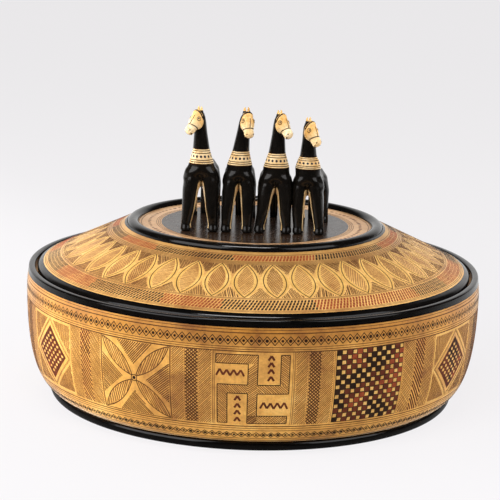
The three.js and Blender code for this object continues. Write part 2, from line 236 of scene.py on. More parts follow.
def fired(name, colours, cloud=26.0, grain=700.0, roughness=(0.35, 0.5), coat=0.0,
          coat_roughness=0.2, bump=0.06, ripple=150.0, shine=0.3, bloom=0.0, painted_shade=None):
    """A fired surface: clouds and grain in colour, grain and ripples in bump.

    Clouds at two sizes walk through the colours, grain darkens them a little, and the
    roughness follows the finer clouds. Bloom is the pale dust that shows where the
    surface turns away. The painted shade is (low, high, colour): the surface is darkened
    towards the colour from the low height to the high one, in metres, and keeps it above,
    as painted shade under a rim or beside a raised part."""
    material = bpy.data.materials.new(name)
    material.use_nodes = True
    tree = material.node_tree
    tree.nodes.clear()
    where = node(tree, "ShaderNodeTexCoord").outputs["Object"]
    wide = noise(tree, where, cloud, 4.0, 0.6)
    fine = noise(tree, where, cloud * 6, 3.0, 0.6)
    speck = noise(tree, where, grain, 2.0, 0.7)
    blended = maths(tree, "MULTIPLY_ADD", fine, 0.32, maths(tree, "MULTIPLY", wide, 0.68))
    body = ramp(tree, blended, *zip(np.linspace(0.34, 0.66, len(colours)), colours))
    dusting = ramp(tree, speck, (0.3, (0.72, 0.68, 0.62)), (0.55, (1.0, 1.0, 1.0)))
    colour = mix(tree, 0.7, body, dusting, "MULTIPLY")
    # Painted shade: from the low height up, the colour is multiplied by the shade colour.
    if painted_shade:
        low, high, shade_colour = painted_shade
        share = fading(tree, place(tree, "Z"), low, high, 0.0, 1.0)
        colour = mix(tree, share, colour, mix(tree, 1.0, colour, (*shade_colour, 1), "MULTIPLY"))
    rough = node(tree, "ShaderNodeMapRange", {"Value": fine, "From Min": 0.3, "From Max": 0.7,
                                              "To Min": roughness[0], "To Max": roughness[1]})
    waves = noise(tree, where, ripple, 2.0, 0.5)
    relief = node(tree, "ShaderNodeBump", {
        "Strength": 1.0, "Distance": bump * MM,
        "Height": maths(tree, "MULTIPLY_ADD", speck, 0.25, waves)})
    shader = node(tree, "ShaderNodeBsdfPrincipled",
                  {"Base Color": colour, "Roughness": rough.outputs[0],
                   "Normal": relief.outputs[0], "Coat Weight": coat,
                   "Coat Roughness": coat_roughness, "Specular IOR Level": shine,
                   "Sheen Weight": bloom, "Sheen Roughness": 0.3,
                   "Sheen Tint": (1.0, 0.9, 0.75, 1.0)})
    node(tree, "ShaderNodeOutputMaterial", {"Surface": shader.outputs[0]})
    return material


# The bowl's clay is painted darker from 62 mm up: painted shade under the rim.
clay = fired("painted_clay", [(0.30, 0.108, 0.016), (0.53, 0.25, 0.038), (0.70, 0.35, 0.058),
                              (0.80, 0.465, 0.11)],
             coat=0.2, coat_roughness=0.3, shine=0.5, bloom=0.6,
             painted_shade=(0.062, 0.076, (0.68, 0.57, 0.3)))
# The lid's clay is painted darker from 101 mm up: painted shade on the slope next to the disc.
lid_clay = fired("painted_clay_lid", [(0.36, 0.15, 0.036), (0.56, 0.29, 0.075),
                                      (0.68, 0.38, 0.11), (0.78, 0.47, 0.16)],
                 coat=0.15, coat_roughness=0.3, bloom=0.32,
                 painted_shade=(0.101, 0.108, (0.6, 0.56, 0.48)))
black = fired("black_slip", [(0.001, 0.0009, 0.0008), (0.004, 0.003, 0.0025)],
              roughness=(0.08, 0.17), coat=0.05, coat_roughness=0.05, bump=0.12, ripple=90.0)
plate_slip = fired("plate_slip", [(0.011, 0.006, 0.0035), (0.036, 0.019, 0.011)], cloud=70.0,
                   roughness=(0.15, 0.28), bump=0.06, ripple=120.0)
sand = fired("sand_slip", [(0.46, 0.25, 0.11), (0.6, 0.36, 0.18), (0.68, 0.44, 0.26)],
             cloud=40.0, coat=0.1)
brushes = {}
for brush, name, thick, thin, roughness in (
        ("faint", "thin_ink", (0.16, 0.055, 0.01), (0.3, 0.12, 0.024), (0.4, 0.55)),
        ("fine", "brown_ink", (0.085, 0.028, 0.007), (0.19, 0.07, 0.016), (0.4, 0.55)),
        ("line", "line_ink", (0.05, 0.016, 0.004), (0.12, 0.04, 0.01), (0.4, 0.55)),
        ("dark", "dark_ink", (0.01, 0.005, 0.003), (0.04, 0.016, 0.007), (0.35, 0.5)),
        ("maroon", "maroon_ink", (0.06, 0.011, 0.004), (0.15, 0.03, 0.009), (0.4, 0.5)),
        ("rust", "rust_ink", (0.17, 0.026, 0.008), (0.32, 0.062, 0.016), (0.4, 0.5))):
    brushes[brush] = fired(name, [thick, thin], cloud=120.0, roughness=roughness, shine=0.2)
brushes["gold"] = fired("gold_wash", [(0.5, 0.26, 0.055), (0.62, 0.355, 0.085),
                                      (0.75, 0.46, 0.14)], cloud=60.0, coat=0.15)
print("materials:", [m.name for m in bpy.data.materials])

# %% [markdown]
# ## Turned surfaces
# Everything thrown on the wheel is a surface of revolution: a profile of radius and
# height, carried once round the upright axis. The angle is measured from the front,
# which is -Y, and grows towards the right of the picture. Paint stands proud of the
# clay by the thickness of its coat, so the clay is drawn in by as much.

# %% Helpers for turned surfaces
coat_depth, coat_bed = 0.1, 0.25
turned_sides = 360


def beside(*numbers):
    """Numbers side by side along a new last axis, such as x, y and z. One number stands
    beside a whole row if it is shared."""
    return np.stack(np.broadcast_arrays(*numbers), axis=-1)


def unit(vectors):
    """Vectors made one long."""
    return vectors / np.linalg.norm(vectors, axis=-1, keepdims=True)


def evenly(count):
    """Angles that part the circle evenly, in degrees."""
    return np.arange(count) * 360 / count


def around(angle, radius, height):
    """Points: x = radius sin(angle), y = -radius cos(angle), z = height, in degrees and mm."""
    turn = np.radians(angle)
    return beside(radius * np.sin(turn), -radius * np.cos(turn), height)


def mesh_piece(name, points, quads, body, slot, material, sharp=35, merge=False, values=None):
    """A mesh object that rides on a body, from points in millimetres and rows of four
    point numbers. Edges sharper than an angle in degrees stay sharp. Merging joins the
    points in one place, which closes a pole. Values are attributes of the points."""
    data = bpy.data.meshes.new(name)
    data.vertices.add(len(points))
    data.vertices.foreach_set("co", (points * MM).astype(np.float32).ravel())
    data.loops.add(quads.size)
    data.loops.foreach_set("vertex_index", quads.astype(np.int32).ravel())
    data.polygons.add(len(quads))
    data.polygons.foreach_set("loop_start", np.arange(0, quads.size, 4, dtype=np.int32))
    data.update(calc_edges=True)
    for key, value in (values or {}).items():
        data.attributes.new(key, "FLOAT", "POINT").data.foreach_set(
            "value", value.astype(np.float32))
    if merge:
        work = bmesh.new()
        work.from_mesh(data)
        bmesh.ops.remove_doubles(work, verts=work.verts, dist=1e-7)
        work.to_mesh(data)
        work.free()
    data.validate()
    data.shade_smooth()
    data.set_sharp_from_angle(angle=math.radians(sharp))
    data.materials.append(material)
    piece = bpy.data.objects.new(name, data)
    scene.collection.objects.link(piece)
    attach(piece, body)
    print(name, len(data.vertices), "points,", len(data.polygons), "faces")
    return piece


def turned(profile):
    """A profile, rows of (radius, height), carried round the axis as a grid of angle and
    row. It starts and ends on the axis, or closes on itself."""
    points = around(evenly(turned_sides)[None, :], profile[:, :1], profile[:, 1:])
    rows, sides = len(profile), turned_sides
    low = np.arange(rows - 1 if profile[0, 0] == 0 else rows)[:, None]
    high = (low + 1) % rows
    side = np.arange(sides)[None, :]
    after = (side + 1) % sides
    quads = beside(low * sides + side, low * sides + after,
                   high * sides + after, high * sides + side)
    return points.reshape(-1, 3), quads.reshape(-1, 4)


def curve(points, steps):
    """A Bezier curve through its first and last points, pulled towards those between."""
    points = np.array(points, float)
    share = np.linspace(0, 1, steps + 1)[:, None]
    degree = len(points) - 1
    weights = [math.comb(degree, i) * share**i * (1 - share)**(degree - i)
               for i in range(degree + 1)]
    return sum(weight * point for weight, point in zip(weights, points))


def rounded(corner, before, after, radius, steps=6):
    """A corner of a profile softened over a radius, as a three-point Bezier curve."""
    corner, before, after = (np.array(p, float) for p in (corner, before, after))
    start = corner + unit(before - corner) * radius
    end = corner + unit(after - corner) * radius
    return curve([start, corner, end], steps)


def right_of(path):
    """The unit normals of a path on its right-hand side, which is outside for a profile."""
    along = unit(np.gradient(path, axis=0))
    return beside(along[:, 1], -along[:, 0])


def pushed(path, distance):
    """A path moved to its right by a distance: along its own normals."""
    return path + distance * right_of(path)


def blackened(name, path, body):
    """A coat of black slip on the right-hand side of a path, bedded a little in the clay."""
    profile = np.concatenate([pushed(path, coat_depth), pushed(path, -coat_bed)[::-1]])
    mesh_piece(name, *turned(profile), body, "black_slip", black)


# %% [markdown]
# ## The bowl
# The wall spreads quickly from the foot, turns through the knee and rises to
# its widest girth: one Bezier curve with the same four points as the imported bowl. The
# rim leans in a little, and inside it runs the gallery, the ledge that takes the lid.

# %% Bowl and foot
heel_radius, heel_height, heel_flare, heel_rise = 134.2, 6.4, 10.1, 6.0
girth_radius, girth_height, knee_height = 150.0, 72.0, 31.2
lean_start, lean_pull = 77.0, (149.2, 80.0)
mouth_radius, rim_height, rim_thickness, rim_round = 148.9, 85.5, 4.2, 1.6
gallery_top, gallery_inside, gallery_under = 79.7, 136.7, 75.2
wall_thickness, floor_top, floor_round = 6.0, 13.4, 5.0
floor_corner_up, floor_corner_in, flat_ring = 4.0, 2.0, 60.0
rim_inside = mouth_radius - rim_thickness

wall = curve([(heel_radius, heel_height), (heel_radius + heel_flare, heel_height + heel_rise),
              (girth_radius, knee_height), (girth_radius, girth_height)], 60)
neck_in = curve([(girth_radius, girth_height), (girth_radius, lean_start), lean_pull,
                 (mouth_radius, rim_height - rim_round)], 16)
outside = np.concatenate([wall, neck_in[1:]])
outside[:, 0] -= coat_depth
rim = np.concatenate([
    rounded((mouth_radius, rim_height), outside[-1], (rim_inside, rim_height), rim_round),
    rounded((rim_inside, rim_height), (mouth_radius, rim_height), (rim_inside, gallery_top),
            rim_round)])
rim[:, 1] -= coat_depth
inside = pushed(outside, -wall_thickness)
inside_top = gallery_under - (girth_radius - wall_thickness - gallery_inside)
inside = inside[(inside[:, 1] > floor_top + floor_corner_up)
                & (inside[:, 1] < inside_top)][::-1]
floor_corner = rounded((inside[-1, 0] - floor_corner_in, floor_top), inside[-1],
                       (0, floor_top), floor_round)
bowl_profile = np.concatenate([
    [(0, heel_height)], outside, rim,
    [(rim_inside, gallery_top), (gallery_inside, gallery_top), (gallery_inside, gallery_under)],
    inside, floor_corner, [(flat_ring, floor_top), (0, floor_top)]])
bowl = mesh_piece("bowl_clay", *turned(bowl_profile), "bowl_body", "painted_clay", clay,
                  merge=True)
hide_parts("bowl")

foot_radius, foot_bead, foot_inside, foot_height = 134.4, 2.4, 126.2, 6.1
swing = np.radians(np.linspace(-90, 90, 17))
bead = beside(foot_radius - foot_bead + foot_bead * np.cos(swing),
              foot_height / 2 * (1 + np.sin(swing)))
foot_profile = np.concatenate([[(foot_inside, 0.0)], bead, [(foot_inside, foot_height)]])
foot = mesh_piece("foot_black", *turned(foot_profile), "bowl_body", "black_slip", black)
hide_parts("foot_ring")

rim_black_from, gallery_bare, points_apart = 81.1, 0.3, 0.2
rim_start = (np.interp(rim_black_from, outside[:, 1], outside[:, 0]), rim_black_from)
rim_path = np.concatenate([[rim_start], outside[outside[:, 1] > rim_black_from + points_apart],
                           rim, [(rim_inside, gallery_top + gallery_bare)]])
blackened("rim_black", rim_path, "bowl_body")

# %% [markdown]
# ## The lid
# The lid is a shallow cone. Its edge drops inside the rim and rests on the gallery,
# and a locating ring below keeps it from sliding. The disc with the beaded edge is
# luted into its flat top. Black slip covers the edge, and the skirt round the disc.

# %% Lid and disc
lid_radius, lid_seat, lid_edge, edge_round = 143.1, 80.0, 5.6, 2.2
slope_top, slope_start, disc_seat_radius, disc_seat = 113.3, 140.1, 84.7, 108.1
plate_top, disc_base, disc_radius = 112.8, 108.4, 84.4
locating_radius, locating_inside, locating_bottom = 135.5, 130.9, 75.0
lid_under, lid_wall = 102.1, 6.0
slope_rise = (slope_top - lid_seat - lid_edge) / (lid_radius - disc_seat_radius)
slope_down = lid_wall * math.hypot(1, slope_rise)


def slope_height(radius):
    """Height of the lid's slope at a radius."""
    return slope_top + (disc_seat_radius - radius) * slope_rise


edge_corner = rounded((lid_radius, slope_height(lid_radius)), (lid_radius, lid_seat),
                      (disc_seat_radius, slope_top), edge_round, 10)
slope_radii = np.linspace(slope_start, disc_seat_radius, 24)
slope = beside(slope_radii, slope_height(slope_radii))
under_edge = disc_seat_radius + (slope_top - slope_down - lid_under) / slope_rise
lid_profile = np.concatenate([
    [(0, lid_under), (under_edge, lid_under),
     (locating_inside, slope_height(locating_inside) - slope_down),
     (locating_inside, locating_bottom), (locating_radius, locating_bottom),
     (locating_radius, lid_seat), (lid_radius - coat_depth, lid_seat)],
    pushed(edge_corner, -coat_depth), pushed(slope, -coat_depth),
    [(disc_seat_radius, disc_seat), (0, disc_seat)]])
lid = mesh_piece("lid_clay", *turned(lid_profile), "lid_body", "painted_clay", lid_clay,
                 merge=True)
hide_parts("lid_shell")

edge_black_to, skirt_black_from = 139.3, 86.3
edge_path = np.concatenate([[(lid_radius, lid_seat + coat_depth)], edge_corner,
                            slope[slope[:, 0] > edge_black_to],
                            [(edge_black_to, slope_height(edge_black_to))]])
skirt_path = np.array([(skirt_black_from, slope_height(skirt_black_from)),
                       (disc_seat_radius, slope_top)])
blackened("lid_edge_black", pushed(edge_path, -coat_depth), "lid_body")
blackened("skirt_black", pushed(skirt_path, -coat_depth), "lid_body")

bead_width, bead_height, bead_skirt, centre_bed = 7.8, 3.3, 2.5, 0.3
swing = np.radians(np.linspace(0, 180, 25))
bead_middle = disc_radius - bead_width / 2
bead = beside(bead_middle + bead_width / 2 * np.cos(swing),
              plate_top + bead_height * np.sin(swing))
disc_profile = np.concatenate([[(0, disc_base), (disc_radius - coat_depth, disc_base)],
                               pushed(bead, -coat_depth),
                               [(flat_ring, plate_top), (0, plate_top)]])
disc = mesh_piece("disc_clay", *turned(disc_profile), "lid_body", "cream_slip", sand, merge=True)
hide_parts("lid_disc")
bead_path = np.concatenate([[(disc_radius, plate_top - bead_skirt)], bead])
blackened("bead_black", pushed(bead_path, -coat_depth), "lid_body")
centre_radius, plate_radius = 62.0, 76.7
centre_profile = np.array([(0, plate_top - centre_bed), (centre_radius, plate_top - centre_bed),
                           (centre_radius, plate_top + coat_depth), (0, plate_top + coat_depth)])
mesh_piece("centre_black", *turned(centre_profile), "lid_body", "black_slip", plate_slip,
           merge=True)

# %% [markdown]
# ## Painting with a fine brush
# The painter fills the whole box with fine lines, most of them well under a millimetre
# wide. A picture of them would blur when seen close, so every brush stroke is a thin closed
# slab of slip that follows the clay. A surface is a function that turns an angle and
# a height or radius into points and outward normals, and a stroke is a row of such
# points, widened across its path.

# %% Surfaces to paint on
def revolved(path, by):
    """A turned surface by angle and by its radius (0) or height (1). Points are read off
    the path, and normals are at right angles to it."""
    table = np.column_stack([path, right_of(path)])[np.argsort(path[:, by])]

    def surface(angle, value):
        radius, height, out, up = (np.interp(value, table[:, by], table[:, i])
                                   for i in range(4))
        return around(angle, radius, height), around(angle, out, up)
    return surface


on_wall = revolved(outside, 1)
on_slope = revolved(pushed(slope, -coat_depth), 0)
on_plate = revolved(np.array([(plate_radius, plate_top), (0.0, plate_top)]), 0)

# %% Slabs, strokes, rings and dots
stroke_lift, stroke_sink = 0.045, 0.14


def slabs(grid, normals, lift=stroke_lift):
    """Closed slabs from grids of points, shaped (slab, row, column, xyz): the grid moved
    out by the lift, the grid moved in to sit in the clay, and four walls between them."""
    count, rows, columns, _ = grid.shape
    points = np.stack([grid + lift * normals, grid - stroke_sink * normals], axis=1)
    number = np.arange(points[..., 0].size).reshape(count, 2, rows, columns)
    top, low = number[:, 0], number[:, 1]

    def quads(*rows):
        return beside(*rows).reshape(-1, 4)

    return points.reshape(-1, 3), np.concatenate([
        quads(top[:, :-1, :-1], top[:, :-1, 1:], top[:, 1:, 1:], top[:, 1:, :-1]),
        quads(low[:, :-1, :-1], low[:, 1:, :-1], low[:, 1:, 1:], low[:, :-1, 1:]),
        quads(top[:, :-1, 0], top[:, 1:, 0], low[:, 1:, 0], low[:, :-1, 0]),
        quads(top[:, 1:, -1], top[:, :-1, -1], low[:, :-1, -1], low[:, 1:, -1]),
        quads(top[:, 0, 1:], top[:, 0, :-1], low[:, 0, :-1], low[:, 0, 1:]),
        quads(top[:, -1, :-1], top[:, -1, 1:], low[:, -1, 1:], low[:, -1, :-1])])


def strokes(surface, paths, width, lift=stroke_lift):
    """Brush strokes along paths, shaped (stroke, point, 2): each point is moved half the
    width to either side, at right angles to the path and to the normal."""
    points, normals = surface(paths[..., 0], paths[..., 1])
    across = unit(np.cross(np.gradient(points, axis=1), normals))
    grid = np.stack([points - across * width / 2, points + across * width / 2], axis=2)
    return slabs(grid, np.stack([normals, normals], axis=2), lift)


def patches(surface, corners, cuts, lift=stroke_lift):
    """Filled four-cornered patches, shaped (patch, 4, 2), as bilinear grids."""
    share = np.linspace(0, 1, cuts)
    near = corners[:, 0, None] + (corners[:, 1] - corners[:, 0])[:, None] * share[:, None]
    far = corners[:, 3, None] + (corners[:, 2] - corners[:, 3])[:, None] * share[:, None]
    flat = near[:, None] + (far - near)[:, None] * share[:, None, None]
    return slabs(*surface(flat[..., 0], flat[..., 1]), lift)


def rings(surface, values, width):
    """Thin lines once round the box at the given heights or radii, each a closed ring
    with four edges."""
    angles = evenly(turned_sides)
    points, normals = surface(angles[None, :], np.asarray(values, float)[:, None])
    turn = np.radians(angles)
    level = beside(np.cos(turn), np.sin(turn), 0 * turn)
    across = np.cross(normals, level) * width / 2
    low, high = stroke_sink * normals, stroke_lift * normals
    edges = np.stack([points + across + high, points - across + high,
                      points - across - low, points + across - low], axis=1)
    number = np.arange(edges[..., 0].size).reshape(len(edges), 4, turned_sides)
    edge, side = np.roll(number, -1, axis=1), np.roll(number, -1, axis=2)
    both = np.roll(edge, -1, axis=2)
    return edges.reshape(-1, 3), beside(number, edge, both, side).reshape(-1, 4)


def dots(surface, centres, radius):
    """Round dots: a square grid pulled into a disc, x' = x sqrt(1 - y^2 / 2) and the same
    for y, laid on the tangent plane at each centre."""
    little = 0.2
    points, normals = surface(centres[:, 0], centres[:, 1])
    level = unit(surface(centres[:, 0] + little, centres[:, 1])[0] - points)
    steep = np.cross(normals, level)
    line = np.linspace(-1, 1, 4)
    x, y = np.meshgrid(line, line)
    x, y = x * np.sqrt(1 - y**2 / 2), y * np.sqrt(1 - x**2 / 2)
    size = np.broadcast_to(radius, len(centres))[:, None, None, None]
    grid = (points[:, None, None] + size * x[..., None] * level[:, None, None]
            + size * y[..., None] * steep[:, None, None])
    return slabs(grid, np.broadcast_to(normals[:, None, None], grid.shape))


def joined(parts):
    """Several (points, quads) pairs as one."""
    starts = np.cumsum([0] + [len(points) for points, _ in parts[:-1]])
    return (np.concatenate([points for points, _ in parts]),
            np.concatenate([quads + start for (_, quads), start in zip(parts, starts)]))


# %% Hatching
hatch_steps = 241


def hatched(inside, reach, direction, pitch, loose=0.8):
    """Parallel lines across a shape, as (line, 2, 2) ends in millimetres. Each line is
    walked in small steps, and every run of steps inside the shape is kept. The place and
    the direction of a line wander a little, as a hand does."""
    count = int(2 * reach / pitch)
    offset = (np.arange(count) - count / 2 + chance.uniform(-0.1, 0.1, count)) * pitch
    turn = np.radians(direction + chance.normal(0, loose, count))[:, None]
    walk = np.linspace(-reach, reach, hatch_steps)[None, :]
    x = walk * np.cos(turn) - offset[:, None] * np.sin(turn)
    y = walk * np.sin(turn) + offset[:, None] * np.cos(turn)
    held = np.pad(inside(x, y), ((0, 0), (1, 1)))
    line, first = np.nonzero(held[:, 1:-1] & ~held[:, :-2])
    last = np.nonzero(held[:, 1:-1] & ~held[:, 2:])[1]
    long = last - first > 1
    line, first, last = line[long], first[long], last[long]
    return np.stack([beside(x[line, end], y[line, end]) for end in (first, last)], axis=1)


def stepped(segments, points):
    """Straight segments, (line, 2, 2), with more points along them."""
    share = np.linspace(0, 1, points)[:, None]
    return segments[:, :1] + (segments[:, 1:] - segments[:, :1]) * share


def closed(corners, points):
    """The sides of a closed shape, each a stroke of so many points."""
    return stepped(np.stack([corners, np.roll(corners, -1, axis=0)], axis=1), points)


def oblong(left, right, low, high):
    """The inside test of an upright rectangle."""
    return lambda x, y: (x > left) & (x < right) & (y > low) & (y < high)


# %% [markdown]
# ## The wall's bands
# Two borders run round the wall: a row of lozenges with a dot in each under the rim,
# and a smaller one above the foot, both between thin lines. They were laid out by
# eye, so the dots vary in size.

# %% Lines and lozenges round the wall
line_width, broad_width = 0.36, 0.6
fine_heights, broad_heights = [79.9, 69.6, 68.2, 17.4, 15.8, 9.6], [78.0, 66.9, 18.9, 7.6]


def lozenge_row(middle, half, count, width, dot):
    """A zigzag above and its mirror image below, with a dot in each lozenge."""
    centres = beside(evenly(count), middle)
    reach = 180 / count
    ends = np.array([[(-reach, 0), (0, half)], [(0, half), (reach, 0)],
                     [(-reach, 0), (0, -half)], [(0, -half), (reach, 0)]])
    size = dot * chance.uniform(0.8, 1.15, count)
    return [strokes(on_wall, (ends + centres[:, None, None]).reshape(-1, 2, 2), width),
            dots(on_wall, centres, size)]


wall_lines = joined([rings(on_wall, fine_heights, line_width),
                     rings(on_wall, broad_heights, broad_width)])
mesh_piece("wall_lines", *wall_lines, "bowl_body", "painted_clay", brushes["line"])
upper_row = lozenge_row(middle=73.5, half=2.7, count=204, width=0.5, dot=0.95)
lower_row = lozenge_row(middle=12.5, half=1.9, count=200, width=0.55, dot=1.0)
mesh_piece("wall_lozenges", *joined(upper_row + lower_row), "bowl_body", "painted_clay",
           brushes["dark"])

# %% [markdown]
# ## The wall's panels
# Between the borders the wall is divided into square panels, and narrow strips of
# hatching stand between them. A panel is drawn in millimetres from its own centre and
# then wrapped round the wall. The sequence repeats the four motifs of the front: a
# hooked meander, a checkerboard, a diamond and a four-petalled flower.

# %% Panels laid out round the wall
panel_radius = 149.3
panel_low, panel_high = 20.2, 66.7
panel_middle = (panel_low + panel_high) / 2
half_high = (panel_high - panel_low) / 2
half_panel = 9.25
half_wide = math.radians(half_panel) * panel_radius
side_points, ground_lift = 17, 0.02
square = np.array([(-1, -1), (1, -1), (1, 1), (-1, 1)])
panels = [(0.75, "meander"), (28.9, "checkers"), (58.3, "diamond"), (88.8, "flower"),
          (119.2, "checkers"), (149.6, "diamond"), (180.0, "flower"), (210.4, "diamond"),
          (240.9, "checkers"), (271.6, "flower"), (302.6, "diamond"), (332.0, "flower")]
panel_paint = {brush: [] for brush in brushes}


def wrapped(paths, centre):
    """Local millimetres as angles and heights on the wall, about a panel's centre."""
    return beside(centre + np.degrees(paths[..., 0] / panel_radius),
                  panel_middle + paths[..., 1])


def draw(colour, centre, paths, width):
    """Strokes in a panel, in local millimetres."""
    panel_paint[colour].append(strokes(on_wall, wrapped(np.asarray(paths, float), centre), width))


def fill(colour, centre, corners, cuts=2, lift=stroke_lift):
    """Filled four-cornered patches in a panel, in local millimetres."""
    panel_paint[colour].append(patches(on_wall, wrapped(corners, centre), cuts, lift))


def hatch(colour, centre, inside, reach, middle, direction, pitch, width, points, loose=0.8):
    """Hatching in a panel, which reaches so far from a middle point of its own."""
    middle = np.array(middle, float)
    lines = hatched(lambda x, y: inside(x + middle[0], y + middle[1]), reach, direction, pitch,
                    loose)
    draw(colour, centre, stepped(lines + middle, points), width)


# %% Strips of hatching between the panels
def strip(centre, half, lattice, slant):
    """Three upright columns between two panels: fine hatching, a dark lattice or thick
    slanting dashes, and fine hatching again, with a pale gap and a thin line between."""
    side_gap, line_gap, paint_gap, wide_gap, reach = 0.7, 0.2, 0.3, 0.5, 26
    edges = np.linspace(-half + side_gap, half - side_gap, 4)
    uprights = np.concatenate([edges[1:3], [edges[0] - line_gap, edges[3] + line_gap]])
    ends = np.stack([beside(uprights, -half_high), beside(uprights, half_high)], axis=1)
    draw("faint", centre, stepped(ends, side_points), line_width * 0.8)
    for i in (0, 2):
        column = oblong(edges[i] + paint_gap, edges[i + 1] - wide_gap, -half_high, half_high)
        hatch("fine", centre, column, reach, ((edges[i] + edges[i + 1]) / 2, 0), slant, 0.98,
              0.43, 4, 0.15)
    left, right = edges[1] + paint_gap, edges[2] - paint_gap
    column = oblong(left, right, -half_high, half_high)
    if lattice:
        for way in (43, -43):
            hatch("line", centre, column, reach, (0, 0), way, 1.55, 0.76, 5, 0.2)
    else:
        hatch("maroon", centre, column, reach, (0, 0), -56, 1.7, 0.95, 4, 0.3)
        top = oblong(left, right, half_high * 0.35, half_high)
        hatch("maroon", centre, top, reach, (0, 14), 48, 2.1, 0.4, 4, 0.3)


for i, (here, _) in enumerate(panels):
    after = panels[(i + 1) % len(panels)][0] + (360 if i == len(panels) - 1 else 0)
    half_strip = math.radians((after - here) / 2 - half_panel) * panel_radius
    strip((here + after) / 2, half_strip, lattice=i % 3 != 1, slant=-48 if i % 3 == 1 else 47)


# %% The hooked meander
def meander(centre):
    """A band with two crossed bars and four hooks, hatched piece by piece, with zigzags
    and chevrons in its four bays."""
    bars = [((-22.6, 2.3, 15.8, 21.4), 52), ((-3.4, 2.3, -22.5, 15.8), 38),
            ((-3.4, 20.9, -22.5, -17.3), 40), ((-21.6, -3.4, -2.8, 2.7), -45),
            ((2.3, 21.2, -2.8, 2.7), -42), ((15.9, 21.2, 2.7, 21.4), -38),
            ((-21.6, -15.6, -22.5, -2.8), -45)]
    for (left, right, low, high), way in bars:
        middle = ((left + right) / 2, (low + high) / 2)
        hatch("fine", centre, oblong(left, right, low, high), 15, middle, way, 1.02, 0.46, 4, 0.5)
    hook = np.array([(-22.6, 21.4), (2.3, 21.4), (2.3, 2.7), (15.9, 2.7), (15.9, 21.4),
                     (21.2, 21.4), (21.2, -2.8), (2.3, -2.8), (2.3, -17.3), (20.9, -17.3),
                     (20.9, -22.5), (-3.4, -22.5), (-3.4, -2.8), (-15.6, -2.8),
                     (-15.6, -22.5), (-21.6, -22.5), (-21.6, 2.7), (-3.4, 2.7),
                     (-3.4, 15.8), (-22.6, 15.8)])
    draw("dark", centre, closed(hook, 9), 0.56)
    peaks = np.linspace(-8.3, 8.3, 9)
    for x, y in ((-14.0, 10.3), (12.6, -10.3)):
        heights = np.tile([-2.0, 1.8], 5)[:9] + chance.uniform(-0.25, 0.25, 9)
        zigzag = beside(peaks + x, heights + y)
        draw("maroon", centre, np.stack([zigzag[:-1], zigzag[1:]], axis=1), 1.25)
    for x, rows in ((10.2, (19.8, 15.7, 11.6, 7.1)), (-9.4, (-5.7, -10.5, -14.9, -19.6))):
        for y in rows:
            arms = [[(x - 1.8, y - 1.6), (x, y + 1.2)], [(x, y + 1.2), (x + 1.8, y - 1.6)]]
            draw("maroon", centre, arms, 1.35)


# %% The checkerboard
def squares(colour, centre, x, y, half, wobble=0.14):
    """Filled squares in a panel, each corner a little out of place."""
    corners = (beside(x, y)[:, None] + np.asarray(half) * square
               + chance.uniform(-wobble, wobble, (len(x), 4, 2)))
    fill(colour, centre, corners)


def checkers(centre):
    """Fifteen rows of fourteen squares on a dark ground. The light ones leave the ground
    showing round them, and redder squares gather in drifts."""
    columns, rows = 14, 15
    reach = (half_wide - 0.4, half_high)
    column, row = (grid.ravel() for grid in np.meshgrid(np.arange(columns), np.arange(rows)))
    odd = (column + row) % 2 == 1
    x = ((column + 0.5) / columns * 2 - 1) * reach[0]
    y = ((row + 0.5) / rows * 2 - 1) * reach[1]
    fill("dark", centre, (square * reach)[None], 33, ground_lift)
    wide, high = half_wide / columns, half_high / rows
    squares("gold", centre, x[odd], y[odd], (wide * 0.66, high * 0.7))
    drift = (np.sin(x * 0.2 + centre) + np.sin(y * 0.17 - x * 0.12 + 2.6) + x * 0.03
             + chance.normal(0, 0.8, len(x)))
    for colour, least, most in (("maroon", -0.45, 1.5), ("rust", 1.5, 9.0)):
        chosen = ~odd & (drift >= least) & (drift < most)
        squares(colour, centre, x[chosen], y[chosen], (wide * 0.98, high * 0.96), 0.1)


# %% The diamond
four_corners = [(right, up) for right in (-1, 1) for up in (-1, 1)]


def tips(wide, high):
    """The corners of a diamond, from the top one (or from the bottom if high is negative)."""
    return np.array([(0, high), (wide, 0), (0, -high), (-wide, 0)])


def diamond(centre):
    """A diamond of small checks in a plain diamond border, with hatched corners."""
    wide, high, core_inset, ground_inset = half_wide - 1.0, half_high - 0.6, 5.4, 5.6
    corner_from, corner_gap, pale_within, dark_within = 0.6, 1.9, 0.93, 0.88
    for inset, colour, width in ((0.0, "gold", 0.85), (0.8, "line", 0.3), (1.8, "line", 0.3),
                                 (core_inset, "line", 0.3)):
        draw(colour, centre, closed(tips(wide - inset, high - inset), 13), width)
    draw("gold", centre, closed(square * (half_wide - 0.4, half_high - 0.9), side_points), 0.85)
    for right, up in four_corners:
        def corner(x, y):
            x, y = x * right, y * up
            return ((x > corner_from) & (x < half_wide - 1.3)
                    & (y > corner_from) & (y < half_high - 1.7)
                    & (x / (wide + corner_gap) + y / (high + corner_gap) > 1))
        hatch("fine", centre, corner, 18, (right * 15, up * 15), 76 * right * up, 1.05, 0.52,
              11, 0.4)
    cell = np.array([2.75, 2.45])
    across = np.arange(-8, 9)
    column, row = (grid.ravel() for grid in np.meshgrid(across, across))
    x, y = column * cell[0], row * cell[1]
    core = np.abs(x) / (wide - core_inset) + np.abs(y) / (high - core_inset)
    fill("maroon", centre, tips(wide - ground_inset, ground_inset - high)[None], 25, ground_lift)
    odd = (column + row) % 2 == 1
    chosen = odd & (core < pale_within)
    squares("gold", centre, x[chosen], y[chosen], cell * (0.38, 0.31))
    drift = np.sin(x * 0.25 + centre) + y * 0.08 + chance.normal(0, 0.5, len(x))
    dark_from = 2.4 if centre > 180 else 0.5
    for colour, picked in (("dark", drift > dark_from), ("rust", drift < -0.8)):
        chosen = ~odd & picked & (core < dark_within)
        squares(colour, centre, x[chosen], y[chosen], cell * 0.49, 0.05)


